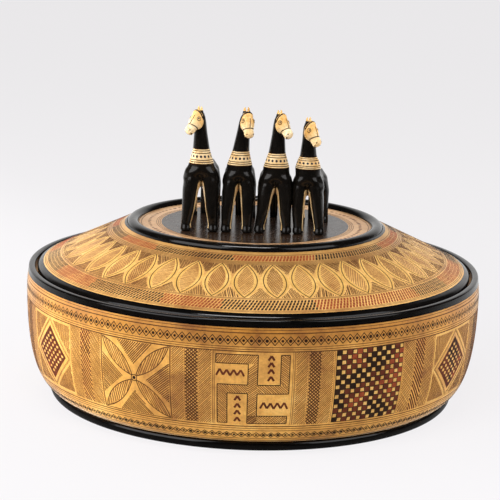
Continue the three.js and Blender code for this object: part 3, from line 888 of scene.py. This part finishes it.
# %% The four-petalled flower
def flower(centre):
    """Four pointed petals to the corners from a ringed dot, and four hatched triangles
    between them. A petal's half width is h (1 - s^2), with s from -1 to 1 along it."""
    start, petal_half, petal_gap, apex, edge_gap, steepness = 1.8, 4.1, 0.5, 8.0, 0.6, 1.2
    share = np.linspace(-1, 1, 15)[:, None]
    for right, up in four_corners:
        tip = np.array([right * (half_wide - 0.8), up * (half_high - edge_gap)])
        way = unit(tip)
        side = np.array([-way[1], way[0]])
        length = (np.linalg.norm(tip) - start) / 2
        middle = way * (start + length)
        bulge = petal_half * (1 - share**2) * side
        spine = middle + share * length * way
        draw("line", centre, np.stack([spine + bulge, spine - bulge]), 0.6)

        def petal(x, y):
            x, y = x - middle[0], y - middle[1]
            along = (x * way[0] + y * way[1]) / length
            return (np.abs(x * side[0] + y * side[1])
                    < (petal_half - petal_gap) * (1 - along**2))
        hatch("fine", centre, petal, 16, middle, 68 if right * up > 0 else -62, 1.3, 0.5, 5)
    for sign, upright, slant in ((1, True, 48), (1, False, 40), (-1, True, -44),
                                 (-1, False, -40)):
        far = (half_high if upright else half_wide) - edge_gap
        spread = 1 if upright else half_high / half_wide

        def wedge(x, y):
            out, aside = (y, x) if upright else (x, y)
            return ((out * sign < far) & (out * sign > apex)
                    & (out * sign - apex > np.abs(aside) * steepness * spread))
        middle = (0, sign * 16) if upright else (sign * 16, 0)
        hatch("line", centre, wedge, 15, middle, slant, 1.12, 0.58, 11, 0.4)
    draw("line", centre, closed(square * (half_wide, half_high), side_points), 0.46)
    turn = np.linspace(0, 2 * np.pi, 19)
    draw("dark", centre, 1.95 * beside(np.cos(turn), np.sin(turn))[None], 0.45)
    panel_paint["dark"].append(dots(on_wall, wrapped(np.zeros((1, 2)), centre), 1.1))


# %% Draw every panel
motifs = {"meander": meander, "checkers": checkers, "diamond": diamond, "flower": flower}
for centre, motif in panels:
    motifs[motif](centre)
    if motif == "meander":
        for side in (-half_wide, -half_wide + 0.9, half_wide - 0.9, half_wide):
            upright = np.array([[(side, -half_high), (side, half_high)]])
            draw("line", centre, stepped(upright, side_points), line_width * 0.7)
for colour, parts in panel_paint.items():
    mesh_piece("panels_" + colour, *joined(parts), "bowl_body", "painted_clay", brushes[colour])

# %% [markdown]
# ## The lid's bands
# A ring of forty pointed leaves runs round the slope, and a band of slanting
# checks above and below it. The leaves were painted by eye, each with its own
# direction of hatching.

# %% Lines round the lid
lid_width = 0.34
lid_lines = rings(on_slope, [138.1, 137.2, 127.4, 126.7, 97.2, 96.2, 95.2, 88.9], lid_width)
mesh_piece("lid_lines", *lid_lines, "lid_body", "painted_clay", brushes["line"])


# %% Bands of slanting checks
def check_band(outer, inner, rows, pitch, slant, edges):
    """Rows of slanting squares between two radii: each row is shifted by half a pitch, so
    dark stands over light. The groups between the edges, in degrees, change colour."""
    half_share, row_gap, wobble = 0.29, 0.12, 0.06
    count = int(round(2 * math.pi * (outer + inner) / 2 / pitch))
    step = 360 / count
    half, lean = step * half_share, slant * step
    radii = np.linspace(outer, inner, rows + 1)
    painted = {"dark": [], "rust": []}
    for row in range(rows):
        angle = (np.arange(count) + 0.5 * (row % 2)) * step - 180
        low, high = radii[row] - row_gap, radii[row + 1] + row_gap
        corners = np.stack([beside(angle - half, low), beside(angle + half, low),
                            beside(angle + half + lean, high),
                            beside(angle - half + lean, high)], axis=1)
        corners[..., 0] += chance.uniform(-wobble, wobble, (count, 4)) * step
        group = np.searchsorted(edges, angle) % 2 == 1
        painted["rust"].append(corners[group])
        painted["dark"].append(corners[~group])
    return {colour: patches(on_slope, np.concatenate(parts), 2)
            for colour, parts in painted.items()}


lower_checks = check_band(136.6, 128.1, 4, 2.15, 0.35, [
    -160, -138, -116, -91, -67.7, -48.7, -24.2, -8, 16.4, 49.2, 64.5, 90, 112, 136, 158])
upper_checks = check_band(94.4, 89.6, 2, 2.1, 0.4, [
    -152, -126, -106, -86, -65, -42, -8, 24, 60, 92, 124, 150])
for colour in ("dark", "rust"):
    mesh_piece("lid_checks_" + colour, *joined([lower_checks[colour], upper_checks[colour]]),
               "lid_body", "painted_clay", brushes[colour])

# %% Ring of leaves
leaf_count, leaf_first = 40, -2.3
leaf_step = 360 / leaf_count
band_outer, band_inner = 126.3, 97.6
band_middle = (band_outer + band_inner) / 2
band_half = (band_outer - band_inner) / 2
degrees_per_mm = math.degrees(1 / band_middle)
leaf_reach, heart_half, heart_end = 15, 2.5, 0.86
gap_half, gap_bulge, gap_from, gap_to = 3.75, 4.1, 0.42, 0.99
leaf_paint = {"fine": [], "spandrel": [], "dark": [], "gold": []}


def draw_leaf(part, centre, x, y, width, lift=stroke_lift):
    """Strokes on the slope by degrees from a centre and by the share of the leaf band,
    which runs from -1 at its outer edge to 1 at its inner edge."""
    paths = beside(centre + x, band_middle - band_half * y)
    leaf_paint[part].append(strokes(on_slope, paths, width, lift))


def hatch_leaf(part, centre, inside, direction, pitch, width, points):
    """Hatching in the leaf band: inside takes degrees and the share of the band."""
    lines = stepped(hatched(lambda x, y: inside(x * degrees_per_mm, y / band_half), leaf_reach,
                            direction, pitch), points)
    draw_leaf(part, centre, lines[..., 0] * degrees_per_mm, lines[..., 1] / band_half, width)


def leaf(centre, way, crossed):
    """A pointed leaf: its half width is h (1 - s^2) with s along it. A dark line between
    two pale ones, and hatching in the heart."""
    share = np.linspace(-1, 1, 19)
    for colour, half, width, lift in (("gold", 4.02, 1.7, 0.02), ("gold", 2.98, 1.6, 0.025),
                                      ("dark", 3.55, 0.55, 0.05)):
        bulge = half * (1 - share**2)
        draw_leaf(colour, centre, np.stack([bulge, -bulge]), share * 0.99, width, lift)

    def heart(x, y):
        return np.abs(x) < heart_half * (1 - (y / heart_end)**2)
    for turn in ((way, way + 80) if crossed else (way,)):
        hatch_leaf("fine", centre, heart, turn, 1.1, 0.32, 6)


def spandrel(centre, end, way):
    """The hatched triangle between two tips: as wide as the space between the leaves."""
    def between(x, y):
        share = y * end
        return ((share > gap_from) & (share < gap_to)
                & (np.abs(x) < gap_half - gap_bulge * (1 - share**2)))
    hatch_leaf("spandrel", centre, between, way, 0.9, 0.48, 5)


for i in range(leaf_count):
    centre = leaf_first + i * leaf_step
    leaf(centre, chance.choice([38, -38, 52, -52, 30]), i % 5 == 1)
    for end in (-1, 1):
        spandrel(centre + leaf_step / 2, end, chance.choice([48, -48, 75, -75]))
for part, parts in leaf_paint.items():
    mesh_piece("leaves_" + part, *joined(parts), "lid_body", "painted_clay",
               brushes["line" if part == "spandrel" else part])

# %% [markdown]
# ## The disc's paint
# Inside the beaded edge the disc keeps a pale ring with a row of dots, one thin line
# outside them and three next to the black centre.

# %% Lines and dots on the disc
mesh_piece("disc_lines", *rings(on_plate, [75.2, 65.2, 64.0, 62.9], lid_width), "lid_body",
           "cream_slip", brushes["line"])
dot_count, dot_ring, dot_radius = 96, 69.9, 1.1
dot_places = beside(evenly(dot_count), dot_ring + chance.uniform(-0.25, 0.25, dot_count))
disc_dots = dots(on_plate, dot_places, dot_radius * chance.uniform(0.75, 1.15, dot_count))
mesh_piece("disc_dots", *disc_dots, "lid_body", "cream_slip", brushes["maroon"])

# %% [markdown]
# ## Clay that has been rolled and pressed together
# The horses are made by hand from rolls of clay whose joins are rubbed smooth. Each
# roll is a field: a number at every point, below zero inside the clay. Two rolls are
# joined by the smaller of their numbers, with the change from one to the other eased,
# which is what a wet thumb does to a join. The surface is where the field is zero.

# %% Fields of rolled clay
def eased_min(first, second, width):
    """The smaller of two fields, eased over a width: along a share h of the way from one
    to the other, with width h (1 - h) taken off."""
    share = np.clip(0.5 + 0.5 * (second - first) / width, 0, 1)
    return second + (first - second) * share - width * share * (1 - share)


def eased_max(first, second, width):
    """The larger of two fields, eased over a width."""
    return -eased_min(-first, -second, width)


def rolled(stations, ease, end_round=1.2):
    """A roll along its third axis. Each station is (along, x, y, width, depth) of an
    ellipse; sizes between stations are read from tables that a moving average has
    smoothed. The field is (ratio - 1) times the smaller half size."""
    stations = np.array(stations, float)
    per_mm = 10
    fine = np.arange(stations[0, 0], stations[-1, 0] + 1 / per_mm, 1 / per_mm)
    span = int(ease * per_mm)
    window = np.hanning(2 * span + 3)[1:-1]
    window /= window.sum()
    columns = [np.convolve(np.pad(np.interp(fine, stations[:, 0], column), span, mode="edge"),
                           window, "valid") for column in stations[:, 1:].T]

    def field(x, y, z):
        middle_x, middle_y, width, depth = (np.interp(z, fine, column) for column in columns)
        ratio = np.hypot((x - middle_x) * 2 / width, (y - middle_y) * 2 / depth)
        side = (ratio - 1) * np.minimum(width, depth) / 2
        ends = np.maximum(stations[0, 0] - z, z - stations[-1, 0])
        return eased_max(side, ends, end_round)
    return field


def ball(x, y, z, middle, size):
    """The field of an ellipsoid."""
    ratio = np.sqrt(sum(((p - m) / s)**2 for p, m, s in zip((x, y, z), middle, size)))
    return (ratio - 1) * min(size)


# %% Skin of a field
def settle(field, points, rounds):
    """Points moved on to the surface of a field by steps of field times slope over slope
    squared, and their outward normals. The slope is read a little way to either side."""
    reach, longest = 0.05, 0.5
    for _ in range(rounds):
        slope = beside(*(field(*(points + reach * way).T) - field(*(points - reach * way).T)
                         for way in np.eye(3))) / (2 * reach)
        steep = np.sum(slope**2, axis=-1, keepdims=True)
        step = field(*points.T)[:, None] * slope / steep
        points = points - np.clip(step, -longest, longest)
    return points, slope / np.sqrt(steep)


def skin(field, low, high, step):
    """The closed surface where a field is zero. Each cell of a grid that the surface
    crosses gets one point, the mean of the crossings on its edges, and each grid line
    that it crosses gets a face between the four cells round it."""
    axes = [np.arange(a, b + step, step) for a, b in zip(low, high)]
    grids = np.meshgrid(*axes, indexing="ij", sparse=True)
    value = np.broadcast_to(field(*grids), [len(axis) for axis in axes])
    within = value < 0
    corners = np.array([(i, j, k) for i in (0, 1) for j in (0, 1) for k in (0, 1)])
    cells = [size - 1 for size in value.shape]
    filled = sum(within[i:i + cells[0], j:j + cells[1], k:k + cells[2]].astype(np.int8)
                 for i, j, k in corners)
    at = np.argwhere((filled > 0) & (filled < 8))
    held = value[tuple(np.moveaxis(at[:, None] + corners, -1, 0))]
    total, count = np.zeros((len(at), 3)), np.zeros((len(at), 1))
    for one in range(8):
        for other in range(one + 1, 8):
            if np.abs(corners[one] - corners[other]).sum() == 1:
                cross = ((held[:, one] < 0) != (held[:, other] < 0))[:, None]
                gap = np.where(cross[:, 0], held[:, one] - held[:, other], 1.0)
                share = (held[:, one] / gap)[:, None]
                total += cross * (corners[one] + share * (corners[other] - corners[one]))
                count += cross
    points = np.array(low) + step * (at + total / count)
    number = np.full(cells, -1)
    number[tuple(at.T)] = np.arange(len(at))
    faces = []
    for axis in range(3):
        one, two = np.eye(3, dtype=int)[(axis + 1) % 3], np.eye(3, dtype=int)[(axis + 2) % 3]
        near = np.take(within, np.arange(value.shape[axis] - 1), axis)
        far = np.take(within, np.arange(1, value.shape[axis]), axis)
        edge = np.argwhere(near != far)
        ring = beside(*(number[tuple((edge - shift).T)]
                        for shift in (0 * one, one, one + two, two)))
        leaving = near[tuple(edge.T)][:, None]
        faces.append(np.where(leaving, ring, ring[:, ::-1]))
    return settle(field, points, 2)[0], np.concatenate(faces)


# %% [markdown]
# ## Four horses
# A horse is a neck and chest on two forelegs, a barrel behind, two hind legs and a
# tail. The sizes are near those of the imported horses, with longer and steeper heads,
# and the table says how the four differ, for none is quite like its neighbour.

# %% Sizes of the horses
row_front = -29.5
chest_back, neck_lean, head_drop, poll_height = 4.8, 5.0, 2.6, 77.2
head_length, head_pitch, ear_sink, ear_tilt = 14.2, 43.0, 1.0, 4.0
horses = [
    dict(place=-35.9, spread=8.7, shoulders=23.4, legs=34.0, stride=54.0, sway=0.4,
         lean=-1.9, rise=0.0, yaw=-1, turn=-42, nod=0, rump=-1.6, collar=(43.9, 54.2)),
    dict(place=-12.0, spread=6.7, shoulders=20.8, legs=32.4, stride=50.0, sway=0.7,
         lean=4.0, rise=0.2, yaw=-1, turn=18, nod=12, rump=0.0, collar=(43.6, 53.4)),
    dict(place=11.5, spread=8.6, shoulders=22.2, legs=31.1, stride=46.0, sway=1.0,
         lean=1.5, rise=-0.9, yaw=-1, turn=42, nod=0, rump=-0.6, collar=(42.7, 52.7)),
    dict(place=34.6, spread=6.8, shoulders=20.4, legs=30.2, stride=43.0, sway=-1.7,
         lean=-0.3, rise=-5.0, yaw=-4, turn=46, nod=5, rump=0.0, collar=(42.6, 50.9))]


def neck_line(horse, z):
    """How far up the neck a height is, and the middle of the neck there."""
    up = (z - horse["legs"]) / (poll_height + horse["rise"] - horse["legs"])
    up = np.clip(up, 0, 1)
    return up, horse["sway"] + horse["lean"] * up**2, chest_back - neck_lean * up


def body_field(horse):
    """The neck, mane, barrel, legs and tail of a horse, joined."""
    legs, spread, wide = horse["legs"], horse["spread"], horse["shoulders"] / 2
    stride, sway, rise, rump = horse["stride"], horse["sway"], horse["rise"], horse["rump"]
    top, collar_top, across = poll_height + rise, 53.2 + rise / 2, horse["shoulders"]
    rows = [(legs + 0.8, across - 5.0, 7.0), (legs + 2.2, across - 3.4, 11.5),
            (legs + 4, across - 3.2, 14.5), (legs + 6.5, across - 4.6, 15.4),
            (43.6, 16.6, 14.0), (48.4, 13.6, 12.6), (collar_top, 10.9, 11.2),
            ((collar_top + top) / 2, 8.3, 9.0), (top - 6, 7.8, 8.6), (top - 1.6, 6.8, 7.6),
            (top, 4.6, 5.0)]
    neck = rolled([(z, *neck_line(horse, z)[1:], width, depth) for z, width, depth in rows], 2.0)
    nape = []
    for z, width, depth in rows[3:]:
        up, x, y = neck_line(horse, z)
        turn = math.radians(horse["turn"]) * up**3
        nape.append((z, x - (width / 2 - 1.0 * up**3) * math.sin(turn),
                     y + depth / 2 * math.cos(turn) - 0.4, 2.4 + 0.8 * up**3, 2.8 + 0.6 * up**3))
    mane = rolled(nape, 2.0, 1.0)
    height, end = legs + 1.0, stride + 5.0
    flank, haunch = chest_back + 5.5, stride - 6.5
    barrel = rolled([(chest_back, 0, height, 13.6, 13.0), (flank, 0, height, 14.4, 13.6),
                     ((flank + haunch) / 2, 0, height - 0.8, 13.4, 12.6),
                     (haunch, 0, height + rump, 14.4, 13.8),
                     (end - 2.5, 0, height + rump, 12.0, 12.2),
                     (end, 0, height + rump - 0.4, 6.5, 7.0)], 3.0, 2.0)
    tail_back, root = end + 1.6, legs + 6.6 + rump
    tail = rolled([(0.05, 0, tail_back, 5.2, 4.0), (root / 3, 0, tail_back, 5.4, 4.2),
                   (root * 2 / 3, 0, tail_back, 5.2, 4.2), (root - 2, 0, end - 1, 4.4, 4.2),
                   (root, 0, end - 3, 2.4, 2.8)], 2.0, 0.6)
    fore = [(0.02, spread + 3.5, spread - 3.4, 0, -0.6, 7.6),
            (2.6, spread + 3.5, spread - 3.4, 0, -0.3, 7.2),
            (4.6, spread + 3.1, spread - 3.1, 0, 0, 6.6),
            (legs * 0.42, wide, spread * 0.4, sway * 0.42, 0.85, 8.2),
            (legs * 0.78, wide + 0.2, spread * 0.17, sway * 0.78, 2.9, 12.4),
            (legs - 0.5, wide - 0.3, 0.1, sway, 4.6, 15.4),
            (legs + 2.5, wide - 1.0, -0.2, sway, 4.7, 15.0),
            (legs + 5.5, wide - 2.1, -0.2, sway, 4.8, 14.0)]
    forelegs = [rolled([(z, shift + side * (outer + inner) / 2, y, outer - inner, depth)
                        for z, outer, inner, shift, y, depth in fore], 1.8, 2.0)
                for side in (-1, 1)]
    hip = legs + 1.0 + rump
    hind = [(0.02, 7.8, -0.6, 7.1, 7.7), (2.6, 7.8, -0.3, 7.1, 7.2), (4.6, 7.8, 0, 6.4, 6.5),
            (hip * 0.38, 7.8, 0.6, 6.4, 8.0), (hip * 0.68, 7.6, 0, 7.5, 10.4),
            (hip, 5.8, -0.6, 7.8, 12.8), (hip + 4.6, 3.8, -0.6, 4.0, 6.0)]
    hindlegs = [rolled([(z, side * out, stride + back, width, depth)
                        for z, out, back, width, depth in hind], 2.4, 0.5)
                for side in (-1, 1)]

    def field(x, y, z):
        front, back = (eased_min(left(x, y, z), right(x, y, z), 0.7)
                       for left, right in (forelegs, hindlegs))
        made = neck(x, y, z)
        for part, ease in ((barrel(-x, z, y), 5.0), (front, 3.2), (back, 3.0),
                           (tail(x, y, z), 1.0), (mane(x, y, z), 1.2)):
            made = eased_min(made, part, ease)
        return made
    return field


def face_angle(horse):
    """How far the axis of a head is turned from straight up, in degrees."""
    return 90 + head_pitch + horse["nod"]


def swung(y, z, angle):
    """The same place by axes that are swung about X by an angle in degrees."""
    sine, cosine = math.sin(math.radians(angle)), math.cos(math.radians(angle))
    return y * cosine - z * sine, y * sine + z * cosine


def head_field(horse):
    """A head along its own axis, from the poll to the nose, with its face towards +Y:
    skull, cheeks, brows and muzzle, two ears, and hollows at the mouth and nostrils."""
    skull = rolled([(-2.6, 0, 0.6, 4.6, 5.6), (0, 0, 0.5, 7.0, 8.6), (3.0, 0, 0.1, 7.9, 9.0),
                    (6.5, 0, 0, 7.2, 7.7), (8.9, 0, -0.1, 6.1, 6.5), (11.7, 0, -0.1, 6.3, 6.4),
                    (13.5, 0, -0.2, 5.4, 5.6), (14.2, 0, -0.2, 3.6, 3.8)], 1.4, 1.8)
    ears = [rolled([(0, side * 1.5, 0.4, 2.3, 2.2), (2.0, side * 1.4, 0.3, 2.2, 1.8),
                    (3.7, side * 1.3, 0.2, 1.5, 1.2), (5.1, side * 1.2, 0.1, 0.7, 0.5)], 0.5, 0.4)
            for side in (-1, 1)]
    swellings = [((1.7, -1.2, 4.6), (2.6, 3.4, 3.6), 1.6),
                 ((0, 2.8, -0.3), (3.0, 2.6, 2.5), 1.6),
                 ((3.2, 1.7, 3.4), (1.1, 1.1, 1.5), 0.8)]
    hollows = [((1.8, 1.7, 13.7), (0.5, 0.5, 0.6)), ((0, -1.9, 13.4), (4.2, 0.24, 1.9))]

    def field(x, y, z):
        made = skull(x, y, z)
        for middle, size, ease in swellings:
            made = eased_min(made, ball(np.abs(x), y, z, middle, size), ease)
        for middle, size in hollows:
            made = eased_max(made, -ball(np.abs(x), y, z, middle, size), 0.3)
        up_y, up_z = swung(y, z, face_angle(horse))
        ear_y, ear_z = swung(up_y, up_z - (head_drop - ear_sink), ear_tilt)
        for ear in ears:
            made = eased_min(made, ear(x, ear_y, ear_z), 0.9)
        return made
    return field


def turning(angle, axis):
    """A rotation about an axis by an angle in degrees, as a numpy matrix."""
    return np.array(Matrix.Rotation(math.radians(angle), 3, axis))


def standing(horse, points):
    """Points of a horse's own frame set on the plate, in its place in the row."""
    return points @ turning(horse["yaw"], "Z").T + (horse["place"], row_front, plate_top)


def on_head(horse):
    """The way from a head's own frame to the horse's: a rotation and a move."""
    rotation = turning(horse["turn"], "Z") @ turning(face_angle(horse), "X")
    return rotation, (horse["sway"] + horse["lean"], chest_back - neck_lean,
                      poll_height - head_drop + horse["rise"])


# %% Paint of the horses
def sampled(tree, name):
    """An attribute of the mesh, as a socket."""
    return node(tree, "ShaderNodeAttribute", attribute_name=name).outputs["Fac"]


def base_colour(material):
    """The base colour socket of a fired surface, and the socket that feeds it."""
    shader = next(n for n in material.node_tree.nodes if n.type == "BSDF_PRINCIPLED")
    socket = shader.inputs["Base Color"]
    return socket, socket.links[0].from_socket


def horse_paint():
    """Black slip with a pale collar and pale inner faces, and painted shade in dark red-brown
    on the underside between the legs. The collar's height runs from 0 to 1 over the band,
    and its lines are stops of a ramp. Each dot is a circle in the collar's height and the
    angle round the neck."""
    material = fired("horse_slip", [(0.002, 0.0018, 0.0015), (0.008, 0.006, 0.0045)],
                     roughness=(0.1, 0.22), coat=0.05, coat_roughness=0.05, bump=0.2,
                     ripple=160.0)
    tree = material.node_tree
    socket, black_colour = base_colour(material)
    where = node(tree, "ShaderNodeTexCoord").outputs["Object"]
    cloud = noise(tree, where, 180.0, 3.0, 0.6)
    pale = ramp(tree, cloud, (0.35, (0.62, 0.38, 0.15)), (0.65, (0.86, 0.66, 0.38)))
    # Painted shade: a dark red-brown for the underside between the legs.
    belly_shade = ramp(tree, noise(tree, where, 60.0, 2.0), (0.3, (0.2, 0.03, 0.008)),
                 (0.7, (0.5, 0.2, 0.05)))
    collar, turn = sampled(tree, "collar"), sampled(tree, "turn")
    edges = (0.0, 0.06, 0.13, 0.185, 0.26, 0.315, 0.69, 0.745, 0.84, 0.89, 0.96)
    lines = ramp(tree, collar, *zip(edges, ((0.04, 0.02, 0.01), (1, 1, 1)) * 6))
    lines.node.color_ramp.interpolation = "CONSTANT"
    dots_round, dot_middle = 15.0, 0.51
    across = maths(tree, "FRACT", maths(tree, "MULTIPLY", turn, dots_round))
    across = maths(tree, "MULTIPLY", maths(tree, "SUBTRACT", across, 0.5), 3.0)
    above = maths(tree, "MULTIPLY", maths(tree, "SUBTRACT", collar, dot_middle), 10.0)
    far = maths(tree, "SQRT", maths(tree, "ADD", maths(tree, "POWER", across, 2.0),
                                    maths(tree, "POWER", above, 2.0)))
    dot = maths(tree, "LESS_THAN", far, 0.85)
    band = mix(tree, 1.0, pale, lines, "MULTIPLY")
    band = mix(tree, dot, band, (0.02, 0.02, 0.035, 1))
    on_band = maths(tree, "MULTIPLY", maths(tree, "GREATER_THAN", collar, 0.0),
                    maths(tree, "LESS_THAN", collar, 1.0))
    inner, belly = (maths(tree, "GREATER_THAN", sampled(tree, name), 0.0)
                    for name in ("inner", "belly"))
    painted = mix(tree, inner, black_colour, mix(tree, belly, pale, belly_shade))
    tree.links.new(mix(tree, on_band, painted, band), socket)
    return material


def face_paint():
    """Cream slip, with golden clay showing through it above the muzzle, and black behind
    the ears where the mane begins."""
    material = fired("face_slip", [(0.68, 0.44, 0.18), (0.84, 0.63, 0.35), (0.92, 0.76, 0.5)],
                     cloud=110.0, roughness=(0.22, 0.36), coat=0.15)
    tree = material.node_tree
    socket, pale = base_colour(material)
    golden = mix(tree, 1.0, pale, (0.92, 0.72, 0.42, 1), "MULTIPLY")
    tinted = mix(tree, fading(tree, sampled(tree, "along"), 3.5, 9.0, 1.0, 0.0), pale, golden)
    nape = maths(tree, "GREATER_THAN", sampled(tree, "nape"), 0.0)
    tree.links.new(mix(tree, nape, tinted, (0.004, 0.003, 0.003, 1)), socket)
    return material


# %% Bodies
horse_slip, face_slip = horse_paint(), face_paint()
body_cell, head_cell, soft_edge = 0.45, 0.22, 70
inward_least, downward_least, chest_end, hoof_top = 0.84, 0.42, 6, 2.4
for i, horse in enumerate(horses, start=1):
    field = body_field(horse)
    end = horse["stride"] + 5
    points, quads = skin(field, (-14.03, -5.53, -0.83), (14.1, end + 5.1, 78.6), body_cell)
    normals = settle(field, points, 1)[1]
    x, y, z = points.T
    low, high = horse["collar"]
    up, middle_x, middle_y = neck_line(horse, z)
    inward = np.sign(middle_x * z / 40 - x) * normals[:, 0] - inward_least
    downward = np.where(y > chest_end, -normals[:, 2] - downward_least, -1)
    ends = np.minimum((horse["legs"] + 1 - z) * 0.2, (z - hoof_top) * 0.3)
    inner = np.minimum(np.maximum(inward, downward), ends)
    # The belly value is above zero on the underside between the legs, where the paint puts
    # painted shade.
    values = {"collar": (z - low) / (high - low),
              "turn": np.arctan2(x - middle_x, -(y - middle_y)) / (2 * np.pi) + 0.5,
              "inner": inner, "belly": np.minimum(y - 9.0, horse["stride"] - 5 - y)}
    body = mesh_piece(f"horse_{i}_body", standing(horse, points), quads, "lid_body",
                      "black_slip", horse_slip, soft_edge, values=values)
    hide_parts(*(f"horse_{i}_{part}" for part in (
        "neck", "mane", "barrel", "tail", "foreleg_left", "foreleg_right", "hindleg_left",
        "hindleg_right")))

# %% Heads and faces
face_reach = 4.2
for i, horse in enumerate(horses, start=1):
    field = head_field(horse)
    rotation, move = on_head(horse)
    points, quads = skin(field, (-6.03, -7.03, -7.03), (6.1, 9.1, 15.5), head_cell)
    above = swung(points[:, 1], points[:, 2], face_angle(horse))[1]
    behind = np.minimum(-0.3 - 0.2 * points[:, 1] - points[:, 2], 4.35 - above)
    head = mesh_piece(f"horse_{i}_face", standing(horse, points @ rotation.T + move), quads,
                      "lid_body", "cream_slip", face_slip, soft_edge,
                      values={"nape": behind, "along": points[:, 2]})
    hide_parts(*(f"horse_{i}_{part}" for part in ("head", "ear_left", "ear_right")))

    def on_face(angle, share):
        """The head's surface by the angle round its axis and the share of its length."""
        turn = np.radians(angle)
        start = beside(face_reach * np.sin(turn), face_reach * np.cos(turn),
                       share * head_length)
        points, normals = settle(field, start.reshape(-1, 3), 12)
        points = standing(horse, points @ rotation.T + move)
        normals = normals @ rotation.T @ turning(horse["yaw"], "Z").T
        return points.reshape(start.shape), normals.reshape(start.shape)

    def bent(angles, share, bend, width):
        """A line round the face, bent along the head by the cosine of the angle."""
        path = beside(angles, share + bend * np.cos(np.radians(angles)))
        return strokes(on_face, path[None], width)

    nose_band = bent(np.linspace(-180, 180, 49), 0.62, 0.03, 0.62)
    brow = bent(np.linspace(-100, 100, 29), 0.06, -0.09, 0.95)
    bridge = strokes(on_face, np.array([[(6, -0.05), (9, 0.2), (7, 0.42), (3, 0.63)]]), 0.5)
    mouth = bent(np.linspace(80, 280, 19), 1.07, 0.03, 0.75)
    lines = [nose_band, brow, bridge, mouth]
    ring = np.linspace(0, 2 * np.pi, 17)
    for side in (-1, 1):
        eye = beside(side * 56 + 15 * np.sin(ring), 0.24 + 0.085 * np.cos(ring))
        lines += [strokes(on_face, eye[None], 0.42),
                  dots(on_face, np.array([(side * 56.0, 0.24)]), 0.55),
                  dots(on_face, np.array([(side * 48.0, 0.955)]), 0.42)]
    mesh_piece(f"horse_{i}_lines", *joined(lines), "lid_body", "cream_slip", brushes["dark"])
